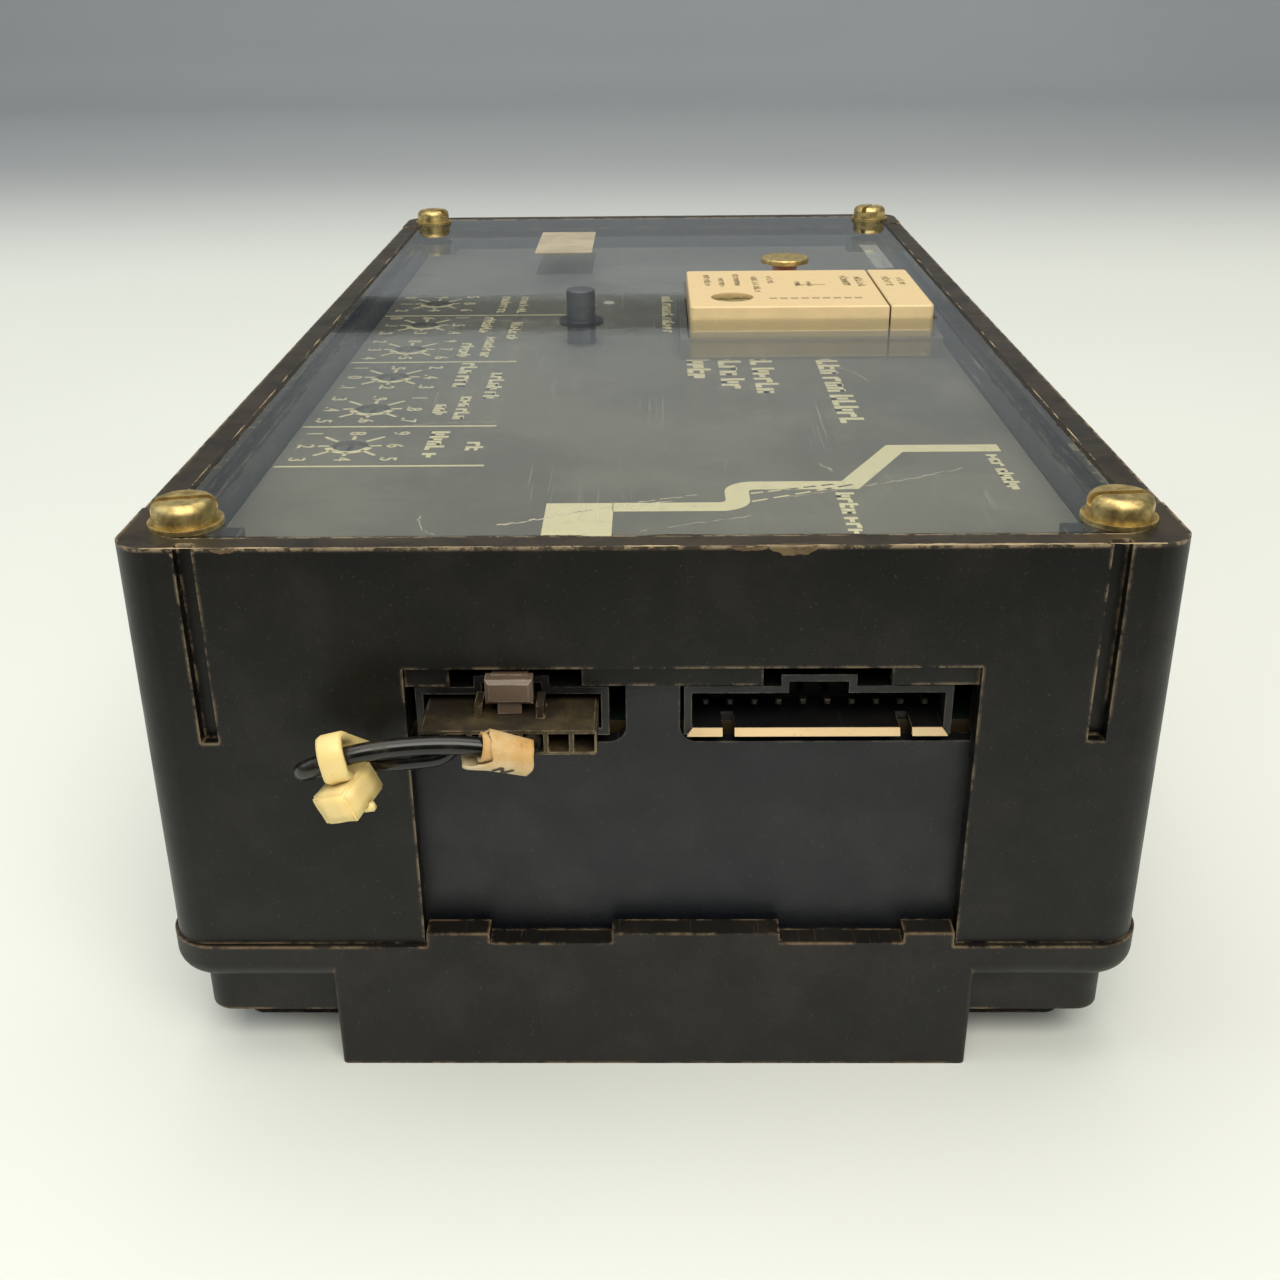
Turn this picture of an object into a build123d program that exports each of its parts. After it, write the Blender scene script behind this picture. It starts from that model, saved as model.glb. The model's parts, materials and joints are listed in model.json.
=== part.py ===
from build123d import *
import math
import os

# Electronic trip unit of a power circuit breaker, lying on its back.
# Millimetres. X across, -Y the connector end, +Z up through the clear cover.
# The origin is the centre of the underside.

# Overall size
LENGTH = 198.0          # outside of the rim, along Y
WIDTH = 106.0           # outside of the rim, along X
HEIGHT = 63.0           # top of the rim above the underside
DRAFT = 0.36            # degrees, the walls widen downwards
CORNER_R = 4.0
SEAM_Z = 16.3           # where the housing meets the rear base

# Housing walls
SIDE_RIM = 3.5
END_RIM = 3.0
COVER_LEDGE = 1.5
SHELF_T = 3.0           # shelf that the faceplate lies on
SHELF_W = 2.0
CAVITY_WALL = 3.5
PAD_STEP = 0.2          # corner pads stand above the side rims
PAD_L = 11.8

# Clear cover
COVER_T = 2.0
COVER_GAP = 0.4         # to the rim
COVER_SEAT = 0.1        # to its ledge

# Faceplate
FACE_DROP = 6.0         # below the top of the rim
FACE_T = 1.6
FACE_GAP = 0.3

# Cover screws, number 6 size
SCREW_INSET_X = 6.0     # from the side of the rim
SCREW_INSET_Y = 7.0     # from the end of the rim
SCREW_D = 3.5
SCREW_HEAD_OVER = 3.1   # head wider than the shank
SCREW_HEAD_H = 2.3
SCREW_L = 9.5
SCREW_TURNS = (12.0, -35.0, 5.0, 60.0)
SCREW_HOLE_GAP = 0.25
SLOT_W = 1.0
SLOT_DEPTH = 1.2
WASHER_OVER = 1.0       # washer wider than the head
WASHER_T = 0.5
INSERT_WALL = 0.9
INSERT_L = 9.0
THREAD_GAP = 0.05

# Corner posts of the housing
POST_W = 11.5
POST_L = 16.5
STUB_W = 5.5            # upper part beside the faceplate
STUB_L = 7.0

# Guide grooves in the connector end
GROOVE_INSET = 7.5      # from the side of the rim
GROOVE_W = 1.85
GROOVE_DEPTH = 1.3
GROOVE_L = 21.5

# Rear base
BASE_PROUD = 0.65
FLANGE_Z = 11.5
FLANGE_R = 5.5
FLANGE_EDGE_R = 2.4
STEP1_INSET = 2.8
STEP1_Z = 5.5
STEP2_INSET_X = 5.3
STEP2_INSET_Y = 8.8
SKIRT_HALF = 35.5
SKIRT_EDGE_R = 0.6
BASE_FLOOR = 3.0
BASE_WALL = 3.0
BASE_SCREW_INSET_X = 12.0
BASE_SCREW_INSET_Y = 15.5
BASE_SCREW_D = 3.5
BASE_SCREW_GAP = 0.2
BASE_HEAD_D = 6.4
BASE_HEAD_H = 2.4
BASE_HEAD_GAP = 0.3
BASE_HEAD_RECESS = 4.0
BASE_SCREW_L = 22.0
BASE_BOSS_HALF = 5.0    # corner boss round each base screw

# Boards
BOARD_T = 1.6
BOARD_DROP = 15.5       # top of the main board below the faceplate
BOARD_SIDE_GAP = 3.0
BOARD_FRONT_GAP = 1.2
BOARD_BACK_GAP = 5.5
BOARD_POST_GAP = 0.5
PILLAR_H = 5.0
PILLAR_D = 7.0
POWER_SIDE_GAP = 4.6
POWER_END_GAP = 3.5     # to the corner bosses
STANDOFF_INSET_X = 10.0
STANDOFF_INSET_Y = 5.0
STANDOFF_AF = 5.5
BOARD_SCREW_HEAD_D = 5.5
BOARD_SCREW_HEAD_H = 1.8
BOARD_SCREW_D = 3.0
BOARD_SCREW_L = 8.0
BOARD_SCREW_GAP = 0.2

# Headers on the connector end, placed by the middle of their pins
PITCH = 2.54
HEADER_END = 2.32       # beyond the last pin
HEADER_WALL = 0.8
HEADER_H = 5.6
HEADER_KEY_W = 7.7
HEADER_KEY_H = 1.3
HEADER_FRONT = 1.5      # behind the end face
HEADER_L = 9.0
HEADER_BACK_WALL = 2.0
DRAIN_W = 1.2           # notches in the lower lip
DRAIN_L = 3.5
DRAIN_INSET = 4.6
PIN_W = 0.64
PIN_RISE = 2.4          # above the board
PIN_BACK = 2.5          # tips behind the mouth
PIN_TAIL = 2.6          # below the board
PIN_RUN = 3.0           # behind the header
OPEN_X, OPEN_PINS = 17.15, 10
USED_X, USED_PINS = -14.25, 7

# Aperture in the connector end
APERTURE_LEFT_GAP = 0.8
APERTURE_RIGHT_GAP = 2.3
APERTURE_RISE = 8.4     # above the board
LIP_END_L = 4.5
LIP_KEY_GAP = 3.4
LIP_OPEN_GAP = 1.9
LIP_DROP = 2.4
LIP_BACK = 0.9
LIP_T = 1.0

# Connector panel
PANEL_BACK = 2.2        # behind the end face
PANEL_T = 1.8
PANEL_TONGUE = 1.3      # into the slot in each jamb
PANEL_GAP = 0.15
PANEL_FOOT_GAP = 0.1
WINDOW_DROP = 1.2       # below the board
WINDOW_LEFT_GAP = 1.7
WINDOW_RIGHT_GAP = 0.4
WINDOW_R = 1.8

# Teeth of the rear base under the connector panel
TOOTH_H = 1.8
TOOTH_DEPTH = 2.6
TOOTH_LEFT_W = 6.9
TOOTH_MIDDLE = (-4.4, 13.9)
TOOTH_RIGHT_W = 5.5
TOOTH_SIDE_GAP = 0.3
LEDGE_H = 0.5           # between the teeth

# Plug in the left header
PLUG_GAP = 0.3
PLUG_H = 2.7
PLUG_PROUD = 4.5        # in front of the end face
PORT_GAP = 0.075
PORT_DEPTH = 5.0
PIN_SPACE = 1.3
LATCH_W = 4.8
LATCH_RISE = 5.1        # above the board
LATCH_H = 2.7
LATCH_T = 1.9
LATCH_BACK = 1.6        # in front of the end face
LATCH_ARM_T = 0.7
LATCH_ARM_L = 5.0
LATCH_ARM_INSET = 0.6
LATCH_NECK_W = 2.4
LATCH_NECK_T = 0.8
LATCH_ROOT_GAP = 0.1
LATCH_GAP = 0.3
GUIDE_W = 0.8
GUIDE_L = 3.2
GUIDE_RISE = 5.2        # above the board
WIRED_PORTS = (1, 4)

# Jumper wire, tie and marker
WIRE_D = 1.9
WIRE_INSIDE = 2.0       # of each end, in its port
CONTACT_BACK = 0.2      # sleeve behind the end of the wire
CONTACT_GAP = 0.05
TIE_X = -31.0
TIE_W = 2.5
TIE_T = 0.9
TIE_GAP = 0.25
TIE_HEAD = 5.2
TIE_HEAD_H = 4.2
MARKER_OVER = 3.0       # sleeve wider than the wire
MARKER_T = 0.45
MARKER_L = 6.2
MARKER_SLIT_W = 2.5
MARKER_TILT = 12.6      # degrees, rising away from the plug

# Selector dials
DIAL_COUNT = 6
DIAL_X = -39.4
DIAL_Y0 = -47.5
DIAL_PITCH = 17.2
DIAL_D = 4.2
DIAL_HOLE_GAP = 0.3
DIAL_BELOW = 0.4        # top below the faceplate
DIAL_SHAFT_D = 3.0
DIAL_CLEAR = 0.05
DIAL_BODY = 10.0
DIAL_BODY_H = 8.6
DIAL_FLOAT = 0.2        # knob above its switch
DIAL_SHAFT_L = 5.0
DIAL_SLOT = 0.8
DIAL_SLOT_END = 0.4
DIAL_SLOT_DEPTH = 1.0

# Rating plug
PLUG_X0, PLUG_X1 = 6.2, 44.3
PLUG_Y0, PLUG_Y1 = -2.5, 26.3
PLUG_ABOVE = 2.0        # top above the cover
PLUG_BODY_H = 19.0
CUTOUT_GAP = 0.5
RATING_WALL = 1.4
RATING_TOP_T = 2.8
RATING_EDGE_R = 0.8
RATING_TOP_R = 0.3
BATTERY_W = 7.0         # right-hand end, with its gap
TRAY_GAP = 0.3
TRAY_H = 17.0
TRAY_WALL = 1.6
CELL_D = 12.5
CELL_T = 3.0
RATING_SCREW_X, RATING_SCREW_Y = 13.1, 4.6
RATING_HEAD_D = 6.1
RATING_HEAD_H = 1.6
RATING_HEAD_GAP = 0.35
RATING_SCREW_D = 3.5
RATING_SCREW_GAP = 0.06
RATING_SCREW_L = 20.5
RATING_HEAD_SINK = 0.25
RATING_POST_WALL = 1.59
RATING_BOARD_UP = 0.6
SOCKET_GAP = 0.35
SOCKET_WALL = 1.15
SOCKET_DROP = 0.8       # rim below the cover
SOCKET_SEAT = 0.3
SOCKET_SKIN = 0.2       # left under each bore
RATING_PINS = 6
RATING_PIN_D = 0.8
RATING_PIN_GAP = 0.3
RATING_PIN_END = 0.5    # above the board
RATING_PIN_SHIFT = 2.0
RATING_PIN_INSET = 8.0

# Push buttons through the cover
RESET_X, RESET_Y = 23.8, 32.2
RESET_CAP_D = 8.4
RESET_CAP_T = 0.9
RESET_ABOVE = 3.2
RESET_STEM_D = 4.3
TEST_X, TEST_Y = -11.45, 9.0
TEST_D = 4.7
TEST_ABOVE = 2.6
BUTTON_HOLE_GAP = 0.3
BUTTON_TRAVEL = 1.2
CLIP_OVER = 2.6
CLIP_T = 0.7
CLIP_DROP = 0.3
SWITCH_SIDE = 6.0
SWITCH_H = 4.0
SWITCH_NUB_D = 3.2
SWITCH_NUB_H = 1.0
SWITCH_REST_GAP = 0.3

# Status light
LIGHT_X, LIGHT_Y = -7.7, 38.1
LIGHT_D = 2.2
LIGHT_PROUD = 0.3

# Label on the cover
LABEL_X, LABEL_Y = -16.9, 66.5
LABEL_W, LABEL_L, LABEL_T = 11.0, 23.0, 0.15

# Power parts on the lower board, set in from its ends
CT_X = (-26.0, -9.0, 8.0, 25.0)
CT_W, CT_L, CT_H = 14.0, 30.0, 24.0
CT_INSET = 16.0
CT_YOKE = 4.0
CT_WINDOW_L = 6.4
CT_LIMB_SHARE = 4.6     # windows this share of the core's length from its middle
WINDING_GAP = 0.1
WINDING_OVER = 1.5
CAP_D, CAP_H = 16.0, 25.0
CAP_X, CAP_INSET, CAP_PITCH, CAP_COUNT = -24.0, 13.0, 20.0, 2
COIL_D, COIL_BORE_D, COIL_H, COIL_EDGE_R = 24.0, 10.0, 11.0, 1.5
COIL_X = 20.0
SINK_X, SINK_INSET = 22.0, 29.0
SINK_W, SINK_L, SINK_H, SINK_FINS = 30.0, 14.0, 25.0, 6
SINK_BASE, SINK_FIN_T = 2.0, 1.2
REG_W, REG_T, REG_H, REG_UP, REG_LEG_W = 10.2, 4.5, 15.0, 3.0, 0.8
LINK_X, LINK_INSET, LINK_W, LINK_L = 0.0, 9.0, 30.0, 5.0
CHIP_X, CHIP_BEHIND, CHIP_W, CHIP_H = -12.0, 15.5, 13.8, 4.0
CHIP_SIDE_LEADS, CHIP_END, CHIP_UP = 20, 1.87, 0.8
CHIP_LEAD_W, CHIP_LEAD_OUT, CHIP_LEAD_IN, CHIP_LEAD_H = 0.8, 1.4, 0.2, 2.0

# Worked out from the above
HALF_L = LENGTH / 2
HALF_W = WIDTH / 2
SPREAD = math.tan(math.radians(DRAFT))
COVER_Z0 = HEIGHT - COVER_T
LEDGE_Z = COVER_Z0 - COVER_SEAT
OPENING_HALF_W = HALF_W - SIDE_RIM - COVER_LEDGE
OPENING_HALF_L = HALF_L - END_RIM - COVER_LEDGE
FACE_Z = HEIGHT - FACE_DROP
SHELF_Z = FACE_Z - FACE_T
CAVITY_HALF_W = HALF_W - CAVITY_WALL
CAVITY_HALF_L = HALF_L - CAVITY_WALL
SCREW_X = HALF_W - SCREW_INSET_X
SCREW_Y = HALF_L - SCREW_INSET_Y
SCREW_HEAD_D = SCREW_D + SCREW_HEAD_OVER
WASHER_D = SCREW_HEAD_D + WASHER_OVER
COVER_HOLE_D = SCREW_D + 2 * SCREW_HOLE_GAP
INSERT_BORE_D = SCREW_D + 2 * THREAD_GAP
INSERT_D = INSERT_BORE_D + 2 * INSERT_WALL
GROOVE_X = HALF_W - GROOVE_INSET
BASE_SCREW_X = HALF_W - BASE_SCREW_INSET_X
BASE_SCREW_Y = HALF_L - BASE_SCREW_INSET_Y
BASE_HALF_W = HALF_W + (HEIGHT - SEAM_Z) * SPREAD + BASE_PROUD
BASE_HALF_L = HALF_L + (HEIGHT - SEAM_Z) * SPREAD + BASE_PROUD
BLOCK_HALF_W = BASE_HALF_W - STEP2_INSET_X
BLOCK_HALF_L = BASE_HALF_L - STEP2_INSET_Y
POCKET_HALF_W = BLOCK_HALF_W - BASE_WALL
POCKET_HALF_L = BLOCK_HALF_L - BASE_WALL
BOARD_TOP = FACE_Z - BOARD_DROP
BOARD_Z0 = BOARD_TOP - BOARD_T
BOARD_HALF_W = CAVITY_HALF_W - BOARD_SIDE_GAP
POWER_BOARD_TOP = BASE_FLOOR + PILLAR_H + BOARD_T
POWER_HALF_W = POCKET_HALF_W - POWER_SIDE_GAP
POWER_HALF_L = BASE_SCREW_Y - BASE_BOSS_HALF - POWER_END_GAP
STANDOFF_X = POWER_HALF_W - STANDOFF_INSET_X
STANDOFF_Y = POWER_HALF_L - STANDOFF_INSET_Y
END_Y = -HALF_L
PANEL_Y = END_Y + PANEL_BACK
HEADER_Y = END_Y + HEADER_FRONT
HEADER_BACK = HEADER_Y + HEADER_L
PIN_BEND = HEADER_BACK + PIN_RUN
PIN_Z = BOARD_TOP + PIN_RISE
OPEN_HALF = (OPEN_PINS - 1) * PITCH / 2 + HEADER_END
USED_HALF = (USED_PINS - 1) * PITCH / 2 + HEADER_END
APERTURE_X0 = USED_X - USED_HALF - APERTURE_LEFT_GAP
APERTURE_X1 = OPEN_X + OPEN_HALF + APERTURE_RIGHT_GAP
APERTURE_TOP = BOARD_TOP + APERTURE_RISE
LIP_SPANS = (
    (APERTURE_X0, APERTURE_X0 + LIP_END_L),
    (USED_X + HEADER_KEY_W / 2 + LIP_KEY_GAP, OPEN_X - HEADER_KEY_W / 2 - LIP_OPEN_GAP),
    (OPEN_X + HEADER_KEY_W / 2 + LIP_KEY_GAP, APERTURE_X1),
)
WINDOW_Z = BOARD_TOP - WINDOW_DROP
TONGUE_X0 = USED_X + USED_HALF + WINDOW_LEFT_GAP
TONGUE_X1 = OPEN_X - OPEN_HALF - WINDOW_RIGHT_GAP
TEETH_X0 = APERTURE_X0 + TOOTH_SIDE_GAP
TEETH_X1 = APERTURE_X1 - TOOTH_SIDE_GAP
TEETH = ((TEETH_X0, TEETH_X0 + TOOTH_LEFT_W), TOOTH_MIDDLE, (TEETH_X1 - TOOTH_RIGHT_W, TEETH_X1))
PORT_W = WIRE_D + 2 * PORT_GAP
MARKER_D = WIRE_D + MARKER_OVER
PLUG_FRONT = END_Y - PLUG_PROUD
PLUG_Z0 = BOARD_TOP + HEADER_WALL + PLUG_GAP
PLUG_Z1 = PLUG_Z0 + PLUG_H
LATCH_X0 = USED_X - LATCH_W / 2
LATCH_X1 = USED_X + LATCH_W / 2
LATCH_Z0 = BOARD_TOP + LATCH_RISE
DIAL_HOLE_D = DIAL_D + 2 * DIAL_HOLE_GAP
DIAL_PLACES = [(DIAL_X, DIAL_Y0 + n * DIAL_PITCH) for n in range(DIAL_COUNT)]
PLUG_TOP = HEIGHT + PLUG_ABOVE
PLUG_FOOT = PLUG_TOP - PLUG_BODY_H
DIVIDER_X = PLUG_X1 - BATTERY_W
SOCKET_TOP = COVER_Z0 - SOCKET_DROP
RATING_SCREW_BORE = RATING_SCREW_D + 2 * RATING_SCREW_GAP
RATING_POST_D = RATING_SCREW_BORE + 2 * RATING_POST_WALL
RATING_SEAT = PLUG_TOP - RATING_HEAD_H - RATING_HEAD_SINK
RESET_TOP = HEIGHT + RESET_ABOVE
TEST_TOP = HEIGHT + TEST_ABOVE
SWITCH_TOP = BOARD_TOP + SWITCH_H + SWITCH_NUB_H
CT_Y = POWER_HALF_L - CT_INSET - CT_L / 2
CAP_PLACES = [(CAP_X, CAP_INSET + CAP_D / 2 - POWER_HALF_L + n * CAP_PITCH)
              for n in range(CAP_COUNT)]
SINK_Y = SINK_INSET - POWER_HALF_L
COIL_Y = (SINK_Y + SINK_L + CT_Y - CT_L / 2) / 2
LINK_Y = LINK_INSET - POWER_HALF_L
CHIP_L = (CHIP_SIDE_LEADS - 1) * PITCH + 2 * CHIP_END
CHIP_Y = PIN_BEND + CHIP_BEHIND + CHIP_L / 2


def block(x0, x1, y0, y1, z0, z1):
    centre = ((x0 + x1) / 2, (y0 + y1) / 2, (z0 + z1) / 2)
    return Pos(*centre) * Box(x1 - x0, y1 - y0, z1 - z0)


def disc(x, y, z0, z1, diameter):
    return Pos(x, y, (z0 + z1) / 2) * Cylinder(diameter / 2, z1 - z0)


def rounded(half_w, half_l, radius, z0, z1):
    outline = Pos(0, 0, z0) * RectangleRounded(2 * half_w, 2 * half_l, radius)
    return extrude(outline, amount=z1 - z0)


def group(shapes):
    return Compound(children=[piece for shape in shapes for piece in shape.solids()])


def four(x, y):
    return [(sx * x, sy * y) for sx in (-1, 1) for sy in (-1, 1)]


def slotted_screw(x, y, seat, head_d, head_h, shank_d, shank_l, turn, slot=SLOT_W):
    """Pan head above the seat and a plain shank below it."""
    head = disc(x, y, seat, seat + head_h, head_d)
    head = fillet(head.edges().group_by(Axis.Z)[-1], head_h * 0.45)
    cut = Pos(x, y, seat + head_h) * Rot(0, 0, turn) * Box(head_d + 1, slot, 2 * SLOT_DEPTH)
    shank = disc(x, y, seat - shank_l, seat, shank_d)
    shank = chamfer(shank.edges().group_by(Axis.Z)[0], 0.4)
    return head - cut + shank


def pan_from_below(x, y, seat, head_d, head_h, shank_d, shank_l):
    """The same screw driven upwards, its head under the seat."""
    head = disc(x, y, seat - head_h, seat, head_d)
    head = fillet(head.edges().group_by(Axis.Z)[0], head_h * 0.4)
    cut = Pos(x, y, seat - head_h) * Box(head_d + 1, SLOT_W, 2 * SLOT_DEPTH)
    return head - cut + disc(x, y, seat, seat + shank_l, shank_d)


def housing():
    rise = HEIGHT - SEAM_Z
    foot = Pos(0, 0, SEAM_Z) * RectangleRounded(
        WIDTH + 2 * rise * SPREAD, LENGTH + 2 * rise * SPREAD, CORNER_R)
    body = extrude(foot, amount=rise, taper=DRAFT)
    body -= rounded(HALF_W - SIDE_RIM, HALF_L - END_RIM, CORNER_R - 1, LEDGE_Z, HEIGHT + 1)
    body -= rounded(OPENING_HALF_W, OPENING_HALF_L, 1.5, SHELF_Z, HEIGHT)
    body -= rounded(OPENING_HALF_W - SHELF_W, OPENING_HALF_L - SHELF_W, 1.5, SEAM_Z, HEIGHT)
    body -= rounded(CAVITY_HALF_W, CAVITY_HALF_L, 2.0, SEAM_Z - 1, SHELF_Z - SHELF_T)
    for x, y in four(1, 1):
        outer_x, outer_y = x * (CAVITY_HALF_W + 0.5), y * (CAVITY_HALF_L + 0.5)
        inner_x, inner_y = x * (CAVITY_HALF_W - POST_W), y * (CAVITY_HALF_L - POST_L)
        body += block(*sorted((inner_x, outer_x)), *sorted((inner_y, outer_y)), SEAM_Z, SHELF_Z)
        stub_x, stub_y = x * (OPENING_HALF_W + 0.2), y * (OPENING_HALF_L + 0.2)
        inner_x, inner_y = x * (OPENING_HALF_W - STUB_W), y * (OPENING_HALF_L - STUB_L)
        body += block(*sorted((inner_x, stub_x)), *sorted((inner_y, stub_y)), SHELF_Z, LEDGE_Z)
    for x, y in four(SCREW_X, SCREW_Y):
        body -= disc(x, y, LEDGE_Z - INSERT_L, HEIGHT, INSERT_D)
        body -= disc(x, y, LEDGE_Z - SCREW_L - 1, HEIGHT, INSERT_BORE_D)
    for x, y in four(BASE_SCREW_X, BASE_SCREW_Y):
        body -= disc(x, y, SEAM_Z - 1, BASE_HEAD_RECESS + BASE_SCREW_L + 1, BASE_SCREW_D)
    for side in (-1, 1):
        x0, x1 = sorted((side * (HALF_W - SIDE_RIM - 0.1), side * (HALF_W + 1)))
        body -= block(x0, x1, PAD_L - HALF_L, HALF_L - PAD_L, HEIGHT - PAD_STEP, HEIGHT + 1)
        x = side * GROOVE_X
        body -= block(x - GROOVE_W / 2, x + GROOVE_W / 2, END_Y - 2, END_Y + GROOVE_DEPTH,
                      HEIGHT - GROOVE_L, HEIGHT + 1)
    return connector_aperture(body)


def connector_aperture(body):
    wall = END_Y + CAVITY_WALL
    body -= block(APERTURE_X0, APERTURE_X1, END_Y - 2, wall + 1, SEAM_Z - 1, APERTURE_TOP)
    slot_y1 = PANEL_Y + PANEL_T + PANEL_GAP
    body -= block(APERTURE_X0 - PANEL_TONGUE, APERTURE_X1 + PANEL_TONGUE, PANEL_Y - PANEL_GAP,
                  max(slot_y1, wall + 0.1), SEAM_Z - 1, WINDOW_Z + 1)
    for x0, x1 in LIP_SPANS:
        body += block(x0, x1, END_Y + LIP_BACK, END_Y + LIP_BACK + LIP_T,
                      APERTURE_TOP - LIP_DROP, APERTURE_TOP + 0.5)
    return body


def rear_base():
    flange = rounded(BASE_HALF_W, BASE_HALF_L, FLANGE_R, FLANGE_Z, SEAM_Z)
    flange = fillet(flange.edges().group_by(Axis.Z)[0], FLANGE_EDGE_R)
    step1 = rounded(BASE_HALF_W - STEP1_INSET, BASE_HALF_L - STEP1_INSET, 3.0, STEP1_Z, SEAM_Z - 1)
    step2 = rounded(BLOCK_HALF_W, BLOCK_HALF_L, 2.0, 0, SEAM_Z - 1)
    skirt = block(-SKIRT_HALF, SKIRT_HALF, -BASE_HALF_L, -BLOCK_HALF_L + 1, 0, SEAM_Z - 1)
    skirt = fillet(skirt.edges().filter_by(Axis.Z).group_by(Axis.Y)[0], SKIRT_EDGE_R)
    base = flange + step1 + step2 + skirt
    tooth_y = TOOTH_DEPTH - BASE_HALF_L
    for x0, x1 in TEETH:
        base += block(x0, x1, -BASE_HALF_L, tooth_y, SEAM_Z - 0.5, SEAM_Z + TOOTH_H)
    base += block(TEETH_X0, TEETH_X1, -BASE_HALF_L, tooth_y, SEAM_Z - 0.5, SEAM_Z + LEDGE_H)
    base -= rounded(POCKET_HALF_W, POCKET_HALF_L, 1.0, BASE_FLOOR, SEAM_Z + 0.01)
    for x, y in four(1, 1):
        x0, x1 = sorted((x * (BASE_SCREW_X - BASE_BOSS_HALF), x * (POCKET_HALF_W + 0.5)))
        y0, y1 = sorted((y * (BASE_SCREW_Y - BASE_BOSS_HALF), y * (POCKET_HALF_L + 0.5)))
        base += block(x0, x1, y0, y1, BASE_FLOOR - 0.5, SEAM_Z)
    for x, y in four(BASE_SCREW_X, BASE_SCREW_Y):
        base -= disc(x, y, -1, SEAM_Z + 1, BASE_SCREW_D + 2 * BASE_SCREW_GAP)
        base -= disc(x, y, -1, BASE_HEAD_RECESS, BASE_HEAD_D + 2 * BASE_HEAD_GAP)
    for x, y in four(STANDOFF_X, STANDOFF_Y):
        base += disc(x, y, BASE_FLOOR - 0.5, BASE_FLOOR + PILLAR_H, PILLAR_D)
    return base


def base_screws():
    return group([pan_from_below(x, y, BASE_HEAD_RECESS, BASE_HEAD_D, BASE_HEAD_H, BASE_SCREW_D,
                                 BASE_SCREW_L) for x, y in four(BASE_SCREW_X, BASE_SCREW_Y)])


def connector_panel():
    side = PANEL_TONGUE - PANEL_GAP
    x0, x1 = APERTURE_X0 - side, APERTURE_X1 + side
    panel = block(x0, x1, PANEL_Y, PANEL_Y + PANEL_T, SEAM_Z + PANEL_FOOT_GAP, WINDOW_Z)
    tongue_top = APERTURE_TOP - 0.2
    panel += block(TONGUE_X0, TONGUE_X1, PANEL_Y, PANEL_Y + PANEL_T, WINDOW_Z - 1, tongue_top)
    roots = [e for e in panel.edges().filter_by(Axis.Y)
             if abs(e.center().Z - WINDOW_Z) < 0.01 and TONGUE_X0 - 1 < e.center().X < TONGUE_X1 + 1]
    return fillet(roots, WINDOW_R)


def clear_cover():
    half_w, half_l = HALF_W - SIDE_RIM - COVER_GAP, HALF_L - END_RIM - COVER_GAP
    cover = rounded(half_w, half_l, CORNER_R - 1.4, COVER_Z0, COVER_Z0 + COVER_T)
    cover -= block(PLUG_X0 - CUTOUT_GAP, PLUG_X1 + CUTOUT_GAP, PLUG_Y0 - CUTOUT_GAP,
                   PLUG_Y1 + CUTOUT_GAP, COVER_Z0 - 1, HEIGHT + 1)
    for x, y in four(SCREW_X, SCREW_Y):
        cover -= disc(x, y, COVER_Z0 - 1, HEIGHT + 1, COVER_HOLE_D)
    for x, y, d in ((RESET_X, RESET_Y, RESET_STEM_D), (TEST_X, TEST_Y, TEST_D)):
        cover -= disc(x, y, COVER_Z0 - 1, HEIGHT + 1, d + 2 * BUTTON_HOLE_GAP)
    return cover


def cover_label():
    return block(LABEL_X - LABEL_W / 2, LABEL_X + LABEL_W / 2, LABEL_Y - LABEL_L / 2,
                 LABEL_Y + LABEL_L / 2, HEIGHT, HEIGHT + LABEL_T)


def cover_screws():
    return group([slotted_screw(x, y, HEIGHT + WASHER_T, SCREW_HEAD_D, SCREW_HEAD_H, SCREW_D,
                                SCREW_L, turn)
                  for (x, y), turn in zip(four(SCREW_X, SCREW_Y), SCREW_TURNS)])


def cover_washers():
    return group([disc(x, y, HEIGHT, HEIGHT + WASHER_T, WASHER_D)
                  - disc(x, y, HEIGHT - 1, HEIGHT + 1, COVER_HOLE_D)
                  for x, y in four(SCREW_X, SCREW_Y)])


def cover_inserts():
    return group([disc(x, y, LEDGE_Z - INSERT_L, LEDGE_Z, INSERT_D)
                  - disc(x, y, LEDGE_Z - INSERT_L - 1, LEDGE_Z + 1, INSERT_BORE_D)
                  for x, y in four(SCREW_X, SCREW_Y)])


def faceplate():
    plate = rounded(OPENING_HALF_W - FACE_GAP, OPENING_HALF_L - FACE_GAP, 1.2, SHELF_Z, FACE_Z)
    for x, y in four(1, 1):
        x0, x1 = sorted((x * (OPENING_HALF_W - STUB_W - FACE_GAP), x * HALF_W))
        y0, y1 = sorted((y * (OPENING_HALF_L - STUB_L - FACE_GAP), y * HALF_L))
        plate -= block(x0, x1, y0, y1, SHELF_Z - 1, FACE_Z + 1)
    for x, y in DIAL_PLACES:
        plate -= disc(x, y, SHELF_Z - 1, FACE_Z + 1, DIAL_HOLE_D)
    gap = SOCKET_GAP + SOCKET_WALL
    plate -= block(PLUG_X0 - gap, PLUG_X1 + gap, PLUG_Y0 - gap, PLUG_Y1 + gap,
                   SHELF_Z - 1, FACE_Z + 1)
    for x, y, d in ((RESET_X, RESET_Y, RESET_STEM_D), (TEST_X, TEST_Y, TEST_D)):
        plate -= disc(x, y, SHELF_Z - 1, FACE_Z + 1, d + 2 * BUTTON_HOLE_GAP)
    plate -= disc(LIGHT_X, LIGHT_Y, SHELF_Z - 1, FACE_Z + 1, LIGHT_D)
    return plate


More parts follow.
